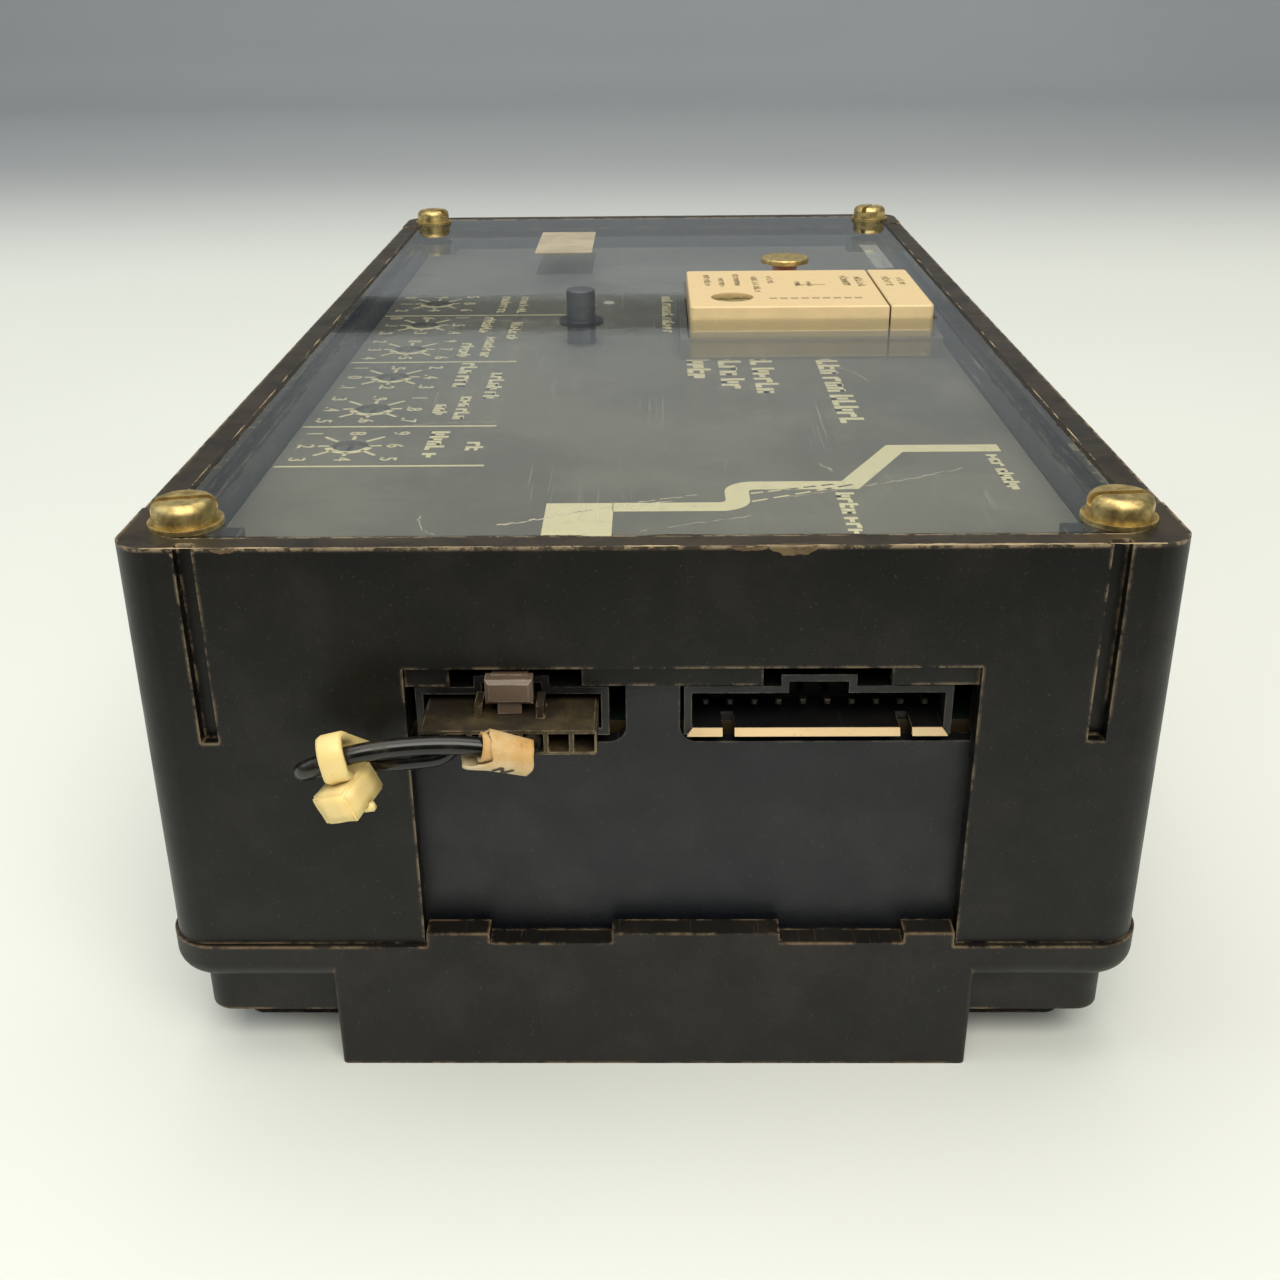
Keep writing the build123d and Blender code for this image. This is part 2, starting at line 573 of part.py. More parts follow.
def dial(x, y):
    top = FACE_Z - DIAL_BELOW
    shoulder = BOARD_TOP + DIAL_BODY_H + DIAL_FLOAT
    knob = disc(x, y, shoulder, top, DIAL_D)
    knob = chamfer(knob.edges().group_by(Axis.Z)[-1], 0.3)
    knob -= Pos(x, y, top) * Box(DIAL_SLOT, DIAL_D - 2 * DIAL_SLOT_END, 2 * DIAL_SLOT_DEPTH)
    return knob + disc(x, y, shoulder - DIAL_SHAFT_L, shoulder, DIAL_SHAFT_D)


def dial_switch(x, y):
    half = DIAL_BODY / 2
    body = block(x - half, x + half, y - half, y + half, BOARD_TOP, BOARD_TOP + DIAL_BODY_H)
    body = chamfer(body.edges().filter_by(Axis.Z), 0.8)
    bore_z = BOARD_TOP + DIAL_BODY_H - DIAL_SHAFT_L
    return body - disc(x, y, bore_z, BOARD_TOP + DIAL_BODY_H + 1, DIAL_SHAFT_D + 2 * DIAL_CLEAR)


def pin_xs(middle, count):
    return [middle + (n - (count - 1) / 2) * PITCH for n in range(count)]


def header_shroud(middle, half, count):
    z0, z1 = BOARD_TOP, BOARD_TOP + HEADER_H
    y0, y1 = HEADER_Y, HEADER_BACK
    inside = y1 - HEADER_BACK_WALL
    wall = HEADER_WALL
    key = HEADER_KEY_W / 2
    shell = block(middle - half, middle + half, y0, y1, z0, z1)
    shell += block(middle - key, middle + key, y0, y1, z1 - 1, z1 + HEADER_KEY_H)
    shell -= block(middle - half + wall, middle + half - wall, y0 - 1, inside, z0 + wall, z1 - wall)
    shell -= block(middle - key + wall, middle + key - wall, y0 - 1, inside,
                   z1 - wall - 0.1, z1 + HEADER_KEY_H - wall)
    for x in (middle - half + DRAIN_INSET, middle + half - DRAIN_INSET):
        shell -= block(x - DRAIN_W / 2, x + DRAIN_W / 2, y0 - 1, y0 + DRAIN_L, z0 - 1, z0 + wall + 0.1)
    for x in pin_xs(middle, count):
        reach = PIN_W / 2
        shell -= block(x - reach, x + reach, inside - 1, y1 + 1, PIN_Z - reach, PIN_Z + reach)
    return shell


def header_pins(middle, count):
    half = PIN_W / 2
    pins = []
    for x in pin_xs(middle, count):
        run = block(x - half, x + half, HEADER_Y + PIN_BACK, PIN_BEND, PIN_Z - half, PIN_Z + half)
        run = chamfer(run.edges().group_by(Axis.Y)[0], 0.15)
        tail = block(x - half, x + half, PIN_BEND - PIN_W, PIN_BEND, BOARD_Z0 - PIN_TAIL, PIN_Z + half)
        pins.append(run + tail)
    return group(pins)


def main_board():
    board = block(-BOARD_HALF_W, BOARD_HALF_W, BOARD_FRONT_GAP - CAVITY_HALF_L,
                  CAVITY_HALF_L - BOARD_BACK_GAP, BOARD_Z0, BOARD_TOP)
    for x, y in four(1, 1):
        x0, x1 = sorted((x * (CAVITY_HALF_W - POST_W - BOARD_POST_GAP), x * HALF_W))
        y0, y1 = sorted((y * (CAVITY_HALF_L - POST_L - BOARD_POST_GAP), y * HALF_L))
        board -= block(x0, x1, y0, y1, BOARD_Z0 - 1, BOARD_TOP + 1)
    for x, y in four(STANDOFF_X, STANDOFF_Y):
        board -= disc(x, y, BOARD_Z0 - 1, BOARD_TOP + 1, BOARD_SCREW_D + 2 * BOARD_SCREW_GAP)
    half = PIN_W / 2
    for x in pin_xs(OPEN_X, OPEN_PINS) + pin_xs(USED_X, USED_PINS):
        board -= block(x - half, x + half, PIN_BEND - PIN_W, PIN_BEND, BOARD_Z0 - 1, BOARD_TOP + 1)
    return board


def power_board():
    board = block(-POWER_HALF_W, POWER_HALF_W, -POWER_HALF_L, POWER_HALF_L,
                  POWER_BOARD_TOP - BOARD_T, POWER_BOARD_TOP)
    return chamfer(board.edges().filter_by(Axis.Z), 2.0)


def board_standoffs():
    spacers = []
    for x, y in four(STANDOFF_X, STANDOFF_Y):
        outline = Pos(x, y, POWER_BOARD_TOP) * RegularPolygon(STANDOFF_AF / 2, 6, major_radius=False)
        spacer = extrude(outline, amount=BOARD_Z0 - POWER_BOARD_TOP)
        depth = BOARD_SCREW_L - BOARD_T + 0.5
        spacers.append(spacer - disc(x, y, BOARD_Z0 - depth, BOARD_Z0 + 1, BOARD_SCREW_D))
    return group(spacers)


def board_screws():
    return group([slotted_screw(x, y, BOARD_TOP, BOARD_SCREW_HEAD_D, BOARD_SCREW_HEAD_H,
                                BOARD_SCREW_D, BOARD_SCREW_L, 20.0, 0.8)
                  for x, y in four(STANDOFF_X, STANDOFF_Y)])


def plug_body():
    half_w = USED_HALF - HEADER_WALL - PLUG_GAP
    back = HEADER_BACK - HEADER_BACK_WALL - PLUG_GAP
    body = block(USED_X - half_w, USED_X + half_w, PLUG_FRONT, back, PLUG_Z0, PLUG_Z1)
    body = chamfer(body.edges().filter_by(Axis.Y), 0.25)
    guide_y = END_Y - LATCH_BACK - LATCH_GAP
    for x in (LATCH_X0 - LATCH_GAP - GUIDE_W, LATCH_X1 + LATCH_GAP):
        body += block(x, x + GUIDE_W, guide_y, guide_y + GUIDE_L, PLUG_Z1 - 0.3,
                      BOARD_TOP + GUIDE_RISE)
    half, space = PORT_W / 2, PIN_SPACE / 2
    for x in pin_xs(USED_X, USED_PINS):
        body -= block(x - half, x + half, PLUG_FRONT - 1, PLUG_FRONT + PORT_DEPTH,
                      PIN_Z - half, PIN_Z + half)
        body -= block(x - space, x + space, PLUG_FRONT, back + 1, PIN_Z - space, PIN_Z + space)
    return body


def plug_latch():
    """Thumb pad on a thin neck, with an arm that reaches in over the key of the header."""
    pad_y = END_Y - LATCH_BACK
    pad = block(LATCH_X0, LATCH_X1, pad_y, pad_y + LATCH_T, LATCH_Z0, LATCH_Z0 + LATCH_H)
    pad = chamfer(pad.edges().group_by(Axis.Y)[0], 0.4)
    arm_z0 = BOARD_TOP + HEADER_H + HEADER_KEY_H + LATCH_GAP
    arm = block(LATCH_X0 + LATCH_ARM_INSET, LATCH_X1 - LATCH_ARM_INSET, pad_y + LATCH_T - 0.5,
                pad_y + LATCH_T + LATCH_ARM_L, arm_z0, arm_z0 + LATCH_ARM_T)
    neck = block(USED_X - LATCH_NECK_W / 2, USED_X + LATCH_NECK_W / 2, pad_y + 0.5,
                 pad_y + 0.5 + LATCH_NECK_T, PLUG_Z1 + LATCH_ROOT_GAP, LATCH_Z0 + 0.5)
    return pad + arm + neck


def plug_contacts():
    pieces = []
    xs = pin_xs(USED_X, USED_PINS)
    outer, inner = PORT_W / 2 - CONTACT_GAP, PIN_SPACE / 2
    y0 = PLUG_FRONT + WIRE_INSIDE + CONTACT_BACK
    y1 = PLUG_FRONT + PORT_DEPTH - 0.1
    for n in WIRED_PORTS:
        sleeve = block(xs[n] - outer, xs[n] + outer, y0, y1, PIN_Z - outer, PIN_Z + outer)
        pieces.append(sleeve - block(xs[n] - inner, xs[n] + inner, y0 + 0.6, y1 + 1,
                                     PIN_Z - inner, PIN_Z + inner))
    return group(pieces)


def wire_route():
    """Points of the jumper, from one port round the folded end and back to the other."""
    xs = pin_xs(USED_X, USED_PINS)
    start, end = xs[WIRED_PORTS[1]], xs[WIRED_PORTS[0]]
    inside = PLUG_FRONT + WIRE_INSIDE
    return [
        (start, inside, PIN_Z),
        (start, PLUG_FRONT - 2.8, PIN_Z + 0.1),
        (start - 4.5, PLUG_FRONT - 2.9, PIN_Z + 1.3),
        (start - 8.9, PLUG_FRONT - 3.2, PIN_Z + 1.7),
        (start - 13.7, PLUG_FRONT - 3.5, PIN_Z + 1.5),
        (start - 17.9, PLUG_FRONT - 4.1, PIN_Z + 1.0),
        (TIE_X - 3.2, PLUG_FRONT - 4.4, PIN_Z - 0.7),
        (TIE_X - 3.2, PLUG_FRONT - 0.8, PIN_Z - 2.7),
        (TIE_X + 1.2, PLUG_FRONT - 0.3, PIN_Z - 2.1),
        (TIE_X + 6.2, PLUG_FRONT - 1.3, PIN_Z - 1.3),
        (end, PLUG_FRONT - 2.2, PIN_Z - 0.1),
        (end, inside, PIN_Z),
    ]


def strands_at(x):
    """Where the jumper crosses the plane at x, and its direction there, for each strand."""
    crossings = []
    points = [Vector(point) for point in wire_route()]
    for before, after in zip(points, points[1:]):
        if (before.X - x) * (after.X - x) < 0:
            run = after - before
            crossings.append((before + run * ((x - before.X) / run.X), run.normalized()))
    return crossings


def bend_radii(points):
    radii = []
    for before, here, after in zip(points, points[1:], points[2:]):
        run_in, run_out = Vector(here) - Vector(before), Vector(after) - Vector(here)
        half_turn = math.radians(run_in.get_angle(run_out)) / 2
        radii.append(0.45 * min(run_in.length, run_out.length) / math.tan(half_turn))
    return radii


def jumper_wire():
    points = wire_route()
    radii = bend_radii(points)
    path = FilletPolyline(*points, radius=radii)
    section = Plane(origin=path @ 0, z_dir=path % 0) * Circle(WIRE_D / 2)
    tube = sweep(section, path=path)
    exact = math.pi * WIRE_D ** 2 / 4 * path.length
    print("wire length", round(path.length, 1), "radii", [round(r, 1) for r in radii],
          "volume ratio", round(tube.volume / exact, 4))
    return tube


def cable_tie():
    """Strap round both strands of the jumper, with its head in front of the lower one."""
    (front, front_way), (rear, rear_way) = strands_at(TIE_X)
    frame = Plane(origin=(front + rear) / 2, x_dir=rear - front, z_dir=front_way - rear_way)
    spacing = (rear - front).length
    inner = WIRE_D + 2 * TIE_GAP
    outer = inner + 2 * TIE_T
    hole = frame * extrude(SlotCenterToCenter(spacing, inner), amount=TIE_HEAD, both=True)
    strap = frame * extrude(SlotCenterToCenter(spacing, outer), amount=TIE_W / 2, both=True)
    place = Pos(TIE_X + 0.7, front.Y - 0.4, rear.Z - 1.9)
    head = place * Rot(0, 0, 45) * Box(TIE_HEAD, TIE_HEAD, TIE_HEAD_H)
    head = chamfer(head.edges().group_by(Axis.Z)[0], 0.7)
    return strap + head - hole


def wire_marker():
    """Slit sleeve slipped over the jumper beside the plug, its slit towards the plug."""
    _, corner, after, *_ = wire_route()
    middle = (Vector(corner) + Vector(after)) / 2
    tube = Cylinder(MARKER_D / 2, MARKER_L) - Cylinder(MARKER_D / 2 - MARKER_T, MARKER_L + 1)
    slit = Pos(0, MARKER_D / 2, 0) * Box(MARKER_SLIT_W, MARKER_D, MARKER_L + 1)
    return Pos(middle.X, middle.Y, middle.Z) * Rot(0, 90 + MARKER_TILT, 0) * (tube - slit)


def rating_plug():
    body = block(PLUG_X0, DIVIDER_X, PLUG_Y0, PLUG_Y1, PLUG_FOOT, PLUG_TOP)
    body = fillet(body.edges().filter_by(Axis.Z).group_by(Axis.X)[0], RATING_EDGE_R)
    body = fillet(body.edges().group_by(Axis.Z)[-1], RATING_TOP_R)
    body -= block(PLUG_X0 + RATING_WALL, DIVIDER_X - RATING_WALL, PLUG_Y0 + RATING_WALL,
                  PLUG_Y1 - RATING_WALL, PLUG_FOOT - 1, PLUG_TOP - RATING_TOP_T)
    place = (RATING_SCREW_X, RATING_SCREW_Y)
    body += disc(*place, PLUG_FOOT, RATING_SEAT, RATING_POST_D)
    body -= disc(*place, PLUG_FOOT - 1, PLUG_TOP, RATING_SCREW_BORE)
    body -= disc(*place, RATING_SEAT, PLUG_TOP + 1, RATING_HEAD_D + 2 * RATING_HEAD_GAP)
    return body


def rating_plug_screw():
    return slotted_screw(RATING_SCREW_X, RATING_SCREW_Y, RATING_SEAT, RATING_HEAD_D, RATING_HEAD_H,
                         RATING_SCREW_D, RATING_SCREW_L, 8.0)


def rating_plug_board():
    z0 = PLUG_FOOT + RATING_BOARD_UP
    board = block(PLUG_X0 + RATING_WALL, DIVIDER_X - RATING_WALL, PLUG_Y0 + RATING_WALL,
                  PLUG_Y1 - RATING_WALL, z0, z0 + BOARD_T)
    board -= disc(RATING_SCREW_X, RATING_SCREW_Y, z0 - 1, z0 + BOARD_T + 1, RATING_POST_D)
    for x, y in rating_pin_places():
        board -= disc(x, y, z0 - 1, z0 + BOARD_T + 1, RATING_PIN_D)
    return board


def rating_pin_places():
    middle = (PLUG_X0 + DIVIDER_X) / 2 + RATING_PIN_SHIFT
    return [(x, PLUG_Y1 - RATING_PIN_INSET) for x in pin_xs(middle, RATING_PINS)]


def rating_plug_pins():
    top = PLUG_FOOT + RATING_BOARD_UP + BOARD_T
    bottom = BOARD_TOP + RATING_PIN_END
    return group([disc(x, y, bottom, top, RATING_PIN_D) for x, y in rating_pin_places()])


def cell_place():
    x = (DIVIDER_X + TRAY_GAP + PLUG_X1) / 2
    return x, (PLUG_Y0 + PLUG_Y1) / 2, PLUG_TOP - TRAY_H + TRAY_WALL + CELL_D / 2


def battery_tray():
    """Right-hand end of the rating plug, which lifts out with the coin cell."""
    tray = block(DIVIDER_X + TRAY_GAP, PLUG_X1, PLUG_Y0, PLUG_Y1, PLUG_TOP - TRAY_H, PLUG_TOP)
    tray = fillet(tray.edges().filter_by(Axis.Z).group_by(Axis.X)[-1], RATING_EDGE_R)
    tray = fillet(tray.edges().group_by(Axis.Z)[-1], RATING_TOP_R)
    x, y, z = cell_place()
    return tray - Pos(x, y, z) * Rot(0, 90, 0) * Cylinder(CELL_D / 2, CELL_T)


def battery_cell():
    cell = chamfer(Cylinder(CELL_D / 2, CELL_T).edges(), 0.25)
    return Pos(*cell_place()) * Rot(0, 90, 0) * cell


def rating_plug_socket():
    """Open box on the main board that rises through the faceplate round the rating plug."""
    gap, wall = SOCKET_GAP, SOCKET_WALL
    box = block(PLUG_X0 - gap - wall, PLUG_X1 + gap + wall, PLUG_Y0 - gap - wall,
                PLUG_Y1 + gap + wall, BOARD_TOP, SOCKET_TOP)
    box -= block(PLUG_X0 - gap, PLUG_X1 + gap, PLUG_Y0 - gap, PLUG_Y1 + gap,
                 PLUG_FOOT - SOCKET_SEAT, SOCKET_TOP + 1)
    low = BOARD_TOP + SOCKET_SKIN
    box -= disc(RATING_SCREW_X, RATING_SCREW_Y, low, SOCKET_TOP, RATING_SCREW_BORE)
    for x, y in rating_pin_places():
        box -= disc(x, y, low, SOCKET_TOP, RATING_PIN_D + 2 * RATING_PIN_GAP)
    return box


def button_clip(x, y, d):
    top = COVER_Z0 - CLIP_DROP
    return disc(x, y, top - CLIP_T, top, d + CLIP_OVER) - disc(x, y, top - 2, top + 1, d)


def push_switch(x, y):
    half = SWITCH_SIDE / 2
    body = block(x - half, x + half, y - half, y + half, BOARD_TOP, BOARD_TOP + SWITCH_H)
    return body + disc(x, y, BOARD_TOP + SWITCH_H - 0.5, SWITCH_TOP, SWITCH_NUB_D)


def button_foot():
    return SWITCH_TOP + BUTTON_TRAVEL + SWITCH_REST_GAP


def reset_button_stem():
    return disc(RESET_X, RESET_Y, button_foot(), RESET_TOP - RESET_CAP_T, RESET_STEM_D)


def reset_button_cap():
    cap = disc(RESET_X, RESET_Y, RESET_TOP - RESET_CAP_T, RESET_TOP, RESET_CAP_D)
    return fillet(cap.edges().group_by(Axis.Z)[-1], 0.35)


def test_button():
    stem = disc(TEST_X, TEST_Y, button_foot(), TEST_TOP, TEST_D)
    return fillet(stem.edges().group_by(Axis.Z)[-1], 0.3)


def status_light():
    lens = disc(LIGHT_X, LIGHT_Y, BOARD_TOP, FACE_Z + LIGHT_PROUD, LIGHT_D)
    return fillet(lens.edges().group_by(Axis.Z)[-1], 0.5)


def current_transformer(x):
    """Laminated core with two windows, standing on the lower board."""
    z0 = POWER_BOARD_TOP
    core = block(x - CT_W / 2, x + CT_W / 2, CT_Y - CT_L / 2, CT_Y + CT_L / 2, z0, z0 + CT_H)
    for side in (-1, 1):
        y = CT_Y + side * CT_L / CT_LIMB_SHARE
        core -= block(x - CT_W, x + CT_W, y - CT_WINDOW_L / 2, y + CT_WINDOW_L / 2,
                      z0 + CT_YOKE, z0 + CT_H - CT_YOKE)
    return core


def transformer_winding(x):
    """Winding round the middle limb of a core, filling its windows."""
    middle = CT_L / CT_LIMB_SHARE
    outer = middle + CT_WINDOW_L / 2 - WINDING_GAP
    inner = middle - CT_WINDOW_L / 2
    over = CT_W / 2 + WINDING_OVER
    coil = block(x - over, x + over, CT_Y - outer, CT_Y + outer,
                 POWER_BOARD_TOP + CT_YOKE + WINDING_GAP, POWER_BOARD_TOP + CT_H - CT_YOKE - WINDING_GAP)
    coil = fillet(coil.edges().filter_by(Axis.Z), WINDING_OVER - 0.1)
    return coil - block(x - CT_W / 2 - 0.05, x + CT_W / 2 + 0.05, CT_Y - inner, CT_Y + inner,
                        POWER_BOARD_TOP, POWER_BOARD_TOP + CT_H)


def capacitor(x, y):
    can = disc(x, y, POWER_BOARD_TOP, POWER_BOARD_TOP + CAP_H, CAP_D)
    return fillet(can.edges().group_by(Axis.Z)[-1], 0.8)


def power_inductor():
    ring = disc(COIL_X, COIL_Y, POWER_BOARD_TOP, POWER_BOARD_TOP + COIL_H, COIL_D)
    ring -= disc(COIL_X, COIL_Y, 0, HEIGHT, COIL_BORE_D)
    return fillet(ring.edges(), COIL_EDGE_R)


def heat_sink():
    z0, z1 = POWER_BOARD_TOP, POWER_BOARD_TOP + SINK_H
    left, right = SINK_X - SINK_W / 2, SINK_X + SINK_W / 2
    sink = block(left, right, SINK_Y, SINK_Y + SINK_BASE, z0, z1)
    step = (SINK_W - SINK_FIN_T) / (SINK_FINS - 1)
    for n in range(SINK_FINS):
        x = left + n * step
        sink += block(x, x + SINK_FIN_T, SINK_Y, SINK_Y + SINK_L, z0, z1)
    return sink


def regulator():
    z0 = POWER_BOARD_TOP + REG_UP
    body = block(SINK_X - REG_W / 2, SINK_X + REG_W / 2, SINK_Y - REG_T, SINK_Y, z0, z0 + REG_H)
    y, half = SINK_Y - REG_T / 2, REG_LEG_W / 2
    for x in pin_xs(SINK_X, 3):
        body += block(x - half, x + half, y - half, y + half, POWER_BOARD_TOP, z0 + 0.5)
    return body


def board_link():
    return block(LINK_X - LINK_W / 2, LINK_X + LINK_W / 2, LINK_Y - LINK_L / 2, LINK_Y + LINK_L / 2,
                 POWER_BOARD_TOP, BOARD_Z0)


def processor_chip():
    z0 = BOARD_TOP + CHIP_UP
    body = block(CHIP_X - CHIP_W / 2, CHIP_X + CHIP_W / 2, CHIP_Y - CHIP_L / 2, CHIP_Y + CHIP_L / 2,
                 z0, z0 + CHIP_H)
    half = CHIP_LEAD_W / 2
    for side in (-1, 1):
        edge = CHIP_X + side * CHIP_W / 2
        x0, x1 = sorted((edge - side * CHIP_LEAD_IN, edge + side * CHIP_LEAD_OUT))
        for y in pin_xs(CHIP_Y, CHIP_SIDE_LEADS):
            body += block(x0, x1, y - half, y + half, BOARD_TOP, BOARD_TOP + CHIP_LEAD_H)
    return body


def build():
    nodes = {
        "housing": housing(),
        "rear_base": rear_base(),
        "base_screws": base_screws(),
        "connector_panel": connector_panel(),
        "clear_cover": clear_cover(),
        "cover_label": cover_label(),
        "cover_screws": cover_screws(),
        "cover_washers": cover_washers(),
        "cover_inserts": cover_inserts(),
        "faceplate": faceplate(),
        "main_board": main_board(),
        "power_board": power_board(),
        "board_standoffs": board_standoffs(),
        "board_screws": board_screws(),
        "open_header_shroud": header_shroud(OPEN_X, OPEN_HALF, OPEN_PINS),
        "open_header_pins": header_pins(OPEN_X, OPEN_PINS),
        "plugged_header_shroud": header_shroud(USED_X, USED_HALF, USED_PINS),
        "plugged_header_pins": header_pins(USED_X, USED_PINS),
        "plug_body": plug_body(),
        "plug_latch": plug_latch(),
        "plug_contacts": plug_contacts(),
        "jumper_wire": jumper_wire(),
        "cable_tie": cable_tie(),
        "wire_marker": wire_marker(),
        "rating_plug": rating_plug(),
        "rating_plug_screw": rating_plug_screw(),
        "rating_plug_board": rating_plug_board(),
        "rating_plug_pins": rating_plug_pins(),
        "rating_plug_socket": rating_plug_socket(),
        "battery_tray": battery_tray(),
        "battery_cell": battery_cell(),
        "reset_button_stem": reset_button_stem(),
        "reset_button_cap": reset_button_cap(),
        "reset_button_clip": button_clip(RESET_X, RESET_Y, RESET_STEM_D),
        "reset_switch": push_switch(RESET_X, RESET_Y),
        "test_button": test_button(),
        "test_button_clip": button_clip(TEST_X, TEST_Y, TEST_D),
        "test_switch": push_switch(TEST_X, TEST_Y),
        "status_light": status_light(),
        "power_inductor": power_inductor(),
        "heat_sink": heat_sink(),
        "regulator": regulator(),
        "board_link": board_link(),
        "processor_chip": processor_chip(),
    }
    for n, (x, y) in enumerate(DIAL_PLACES, 1):
        nodes[f"dial_{n}"] = dial(x, y)
    nodes["dial_switches"] = group([dial_switch(x, y) for x, y in DIAL_PLACES])
    for n, x in enumerate(CT_X, 1):
        nodes[f"current_transformer_{n}"] = current_transformer(x)
    nodes["transformer_windings"] = group([transformer_winding(x) for x in CT_X])
    for n, (x, y) in enumerate(CAP_PLACES, 1):
        nodes[f"capacitor_{n}"] = capacitor(x, y)
    return nodes


os.makedirs("parts", exist_ok=True)
for name, shape in build().items():
    export_step(shape, f"parts/{name}.step")
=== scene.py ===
import json
import math
import random

import bmesh
import bpy
from mathutils import Matrix, Vector
from mathutils.noise import noise as soft_noise


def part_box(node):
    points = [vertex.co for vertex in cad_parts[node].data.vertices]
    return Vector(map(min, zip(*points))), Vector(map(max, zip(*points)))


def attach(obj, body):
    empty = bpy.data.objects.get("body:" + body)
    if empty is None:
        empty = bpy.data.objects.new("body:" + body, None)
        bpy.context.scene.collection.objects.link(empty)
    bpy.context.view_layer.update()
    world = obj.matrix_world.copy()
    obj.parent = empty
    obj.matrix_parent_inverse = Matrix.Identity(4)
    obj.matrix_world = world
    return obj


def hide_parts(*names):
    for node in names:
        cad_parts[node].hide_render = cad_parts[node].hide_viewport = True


# Looks of the electronic trip unit. Metres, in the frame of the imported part:
# X across, -Y the connector end, +Z up through the clear cover.

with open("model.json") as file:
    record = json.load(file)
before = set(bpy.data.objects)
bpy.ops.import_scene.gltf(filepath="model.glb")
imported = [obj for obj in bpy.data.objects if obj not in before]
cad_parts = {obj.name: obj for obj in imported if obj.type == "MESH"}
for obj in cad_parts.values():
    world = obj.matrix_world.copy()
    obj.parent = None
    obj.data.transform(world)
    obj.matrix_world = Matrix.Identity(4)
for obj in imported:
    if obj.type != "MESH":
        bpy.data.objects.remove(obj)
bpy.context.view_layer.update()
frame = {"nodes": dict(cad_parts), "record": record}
MM = 0.001

CASE_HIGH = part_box("housing")[1]
FACE_LOW, FACE_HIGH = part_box("faceplate")
COVER_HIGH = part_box("clear_cover")[1]
RATING_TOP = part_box("rating_plug")[1].z
TRAY_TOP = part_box("battery_tray")[1].z
RIM_Y = -0.099   # face of the connector end at the rim

# ---------------------------------------------------------------- camera and cord

CAMERA_PLACE = (0.00038, -0.22888, 0.11437)
CAMERA_YAW, CAMERA_PITCH, CAMERA_ROLL = -0.978, 25.121, 0.656   # degrees, pitch downwards
CAMERA_LENS = 40.65
CAMERA_SHIFT = (0.0062, -0.0028)


def aim_camera():
    """Camera at the set place, turned by yaw and pitch and then rolled about its own view."""
    yaw, pitch, roll = (math.radians(a) for a in (CAMERA_YAW, CAMERA_PITCH, CAMERA_ROLL))
    level = math.cos(pitch)
    ahead = Vector((math.sin(yaw) * level, math.cos(yaw) * level, -math.sin(pitch)))
    level_right = Vector((math.cos(yaw), -math.sin(yaw), 0))
    level_down = ahead.cross(level_right)
    right = math.cos(roll) * level_right + math.sin(roll) * level_down
    down = math.cos(roll) * level_down - math.sin(roll) * level_right
    camera = bpy.data.objects.new("camera", bpy.data.cameras.new("camera"))
    bpy.context.scene.collection.objects.link(camera)
    turn = Matrix((right, -down, -ahead)).transposed().to_4x4()
    camera.matrix_world = Matrix.Translation(CAMERA_PLACE) @ turn
    camera.data.lens = CAMERA_LENS
    camera.data.shift_x, camera.data.shift_y = CAMERA_SHIFT
    camera.data.clip_start, camera.data.clip_end = 0.01, 20
    bpy.context.scene.camera = camera


aim_camera()

# The jumper's route in millimetres, from one port round the folded end and back to the other.
WIRE_D = 1.9   # millimetres
WIRE_ROUTE = (
    (-11.71, -101.5, 43.9), (-11.71, -106.3, 44.0), (-16.21, -106.4, 45.2), (-20.61, -106.7, 45.6),
    (-25.41, -107.0, 45.4), (-29.61, -107.6, 44.9), (-34.2, -107.9, 43.2), (-34.2, -104.3, 41.2),
    (-29.8, -103.8, 41.8), (-24.8, -104.8, 42.6), (-19.33, -105.7, 43.8), (-19.33, -101.5, 43.9),
)


def link(name, data):
    made = bpy.data.objects.new(name, data)
    bpy.context.scene.collection.objects.link(made)
    return made


def wire_curve():
    """The wire as one smooth spline with the route's points as its control points."""
    data = bpy.data.curves.new("jumper", "CURVE")
    data.dimensions = "3D"
    data.resolution_u = 10
    data.bevel_depth = WIRE_D * MM / 2
    data.bevel_resolution = 6
    data.use_fill_caps = True
    spline = data.splines.new("NURBS")
    spline.points.add(len(WIRE_ROUTE) - 1)
    for point, place in zip(spline.points, WIRE_ROUTE):
        point.co = (*(v * MM for v in place), 1)
    spline.order_u = 3
    spline.use_endpoint_u = True
    return link("jumper", data)


def wire_line(curve):
    """Points down the middle of the wire, read from its own spline."""
    bare = bpy.data.objects.new("bare", curve.data.copy())
    bare.data.bevel_depth = 0
    mesh = bpy.data.meshes.new_from_object(bare)
    line = [v.co.copy() for v in mesh.vertices]
    bpy.data.meshes.remove(mesh)
    bpy.data.objects.remove(bare)
    return line


# ---------------------------------------------------------------- material nodes

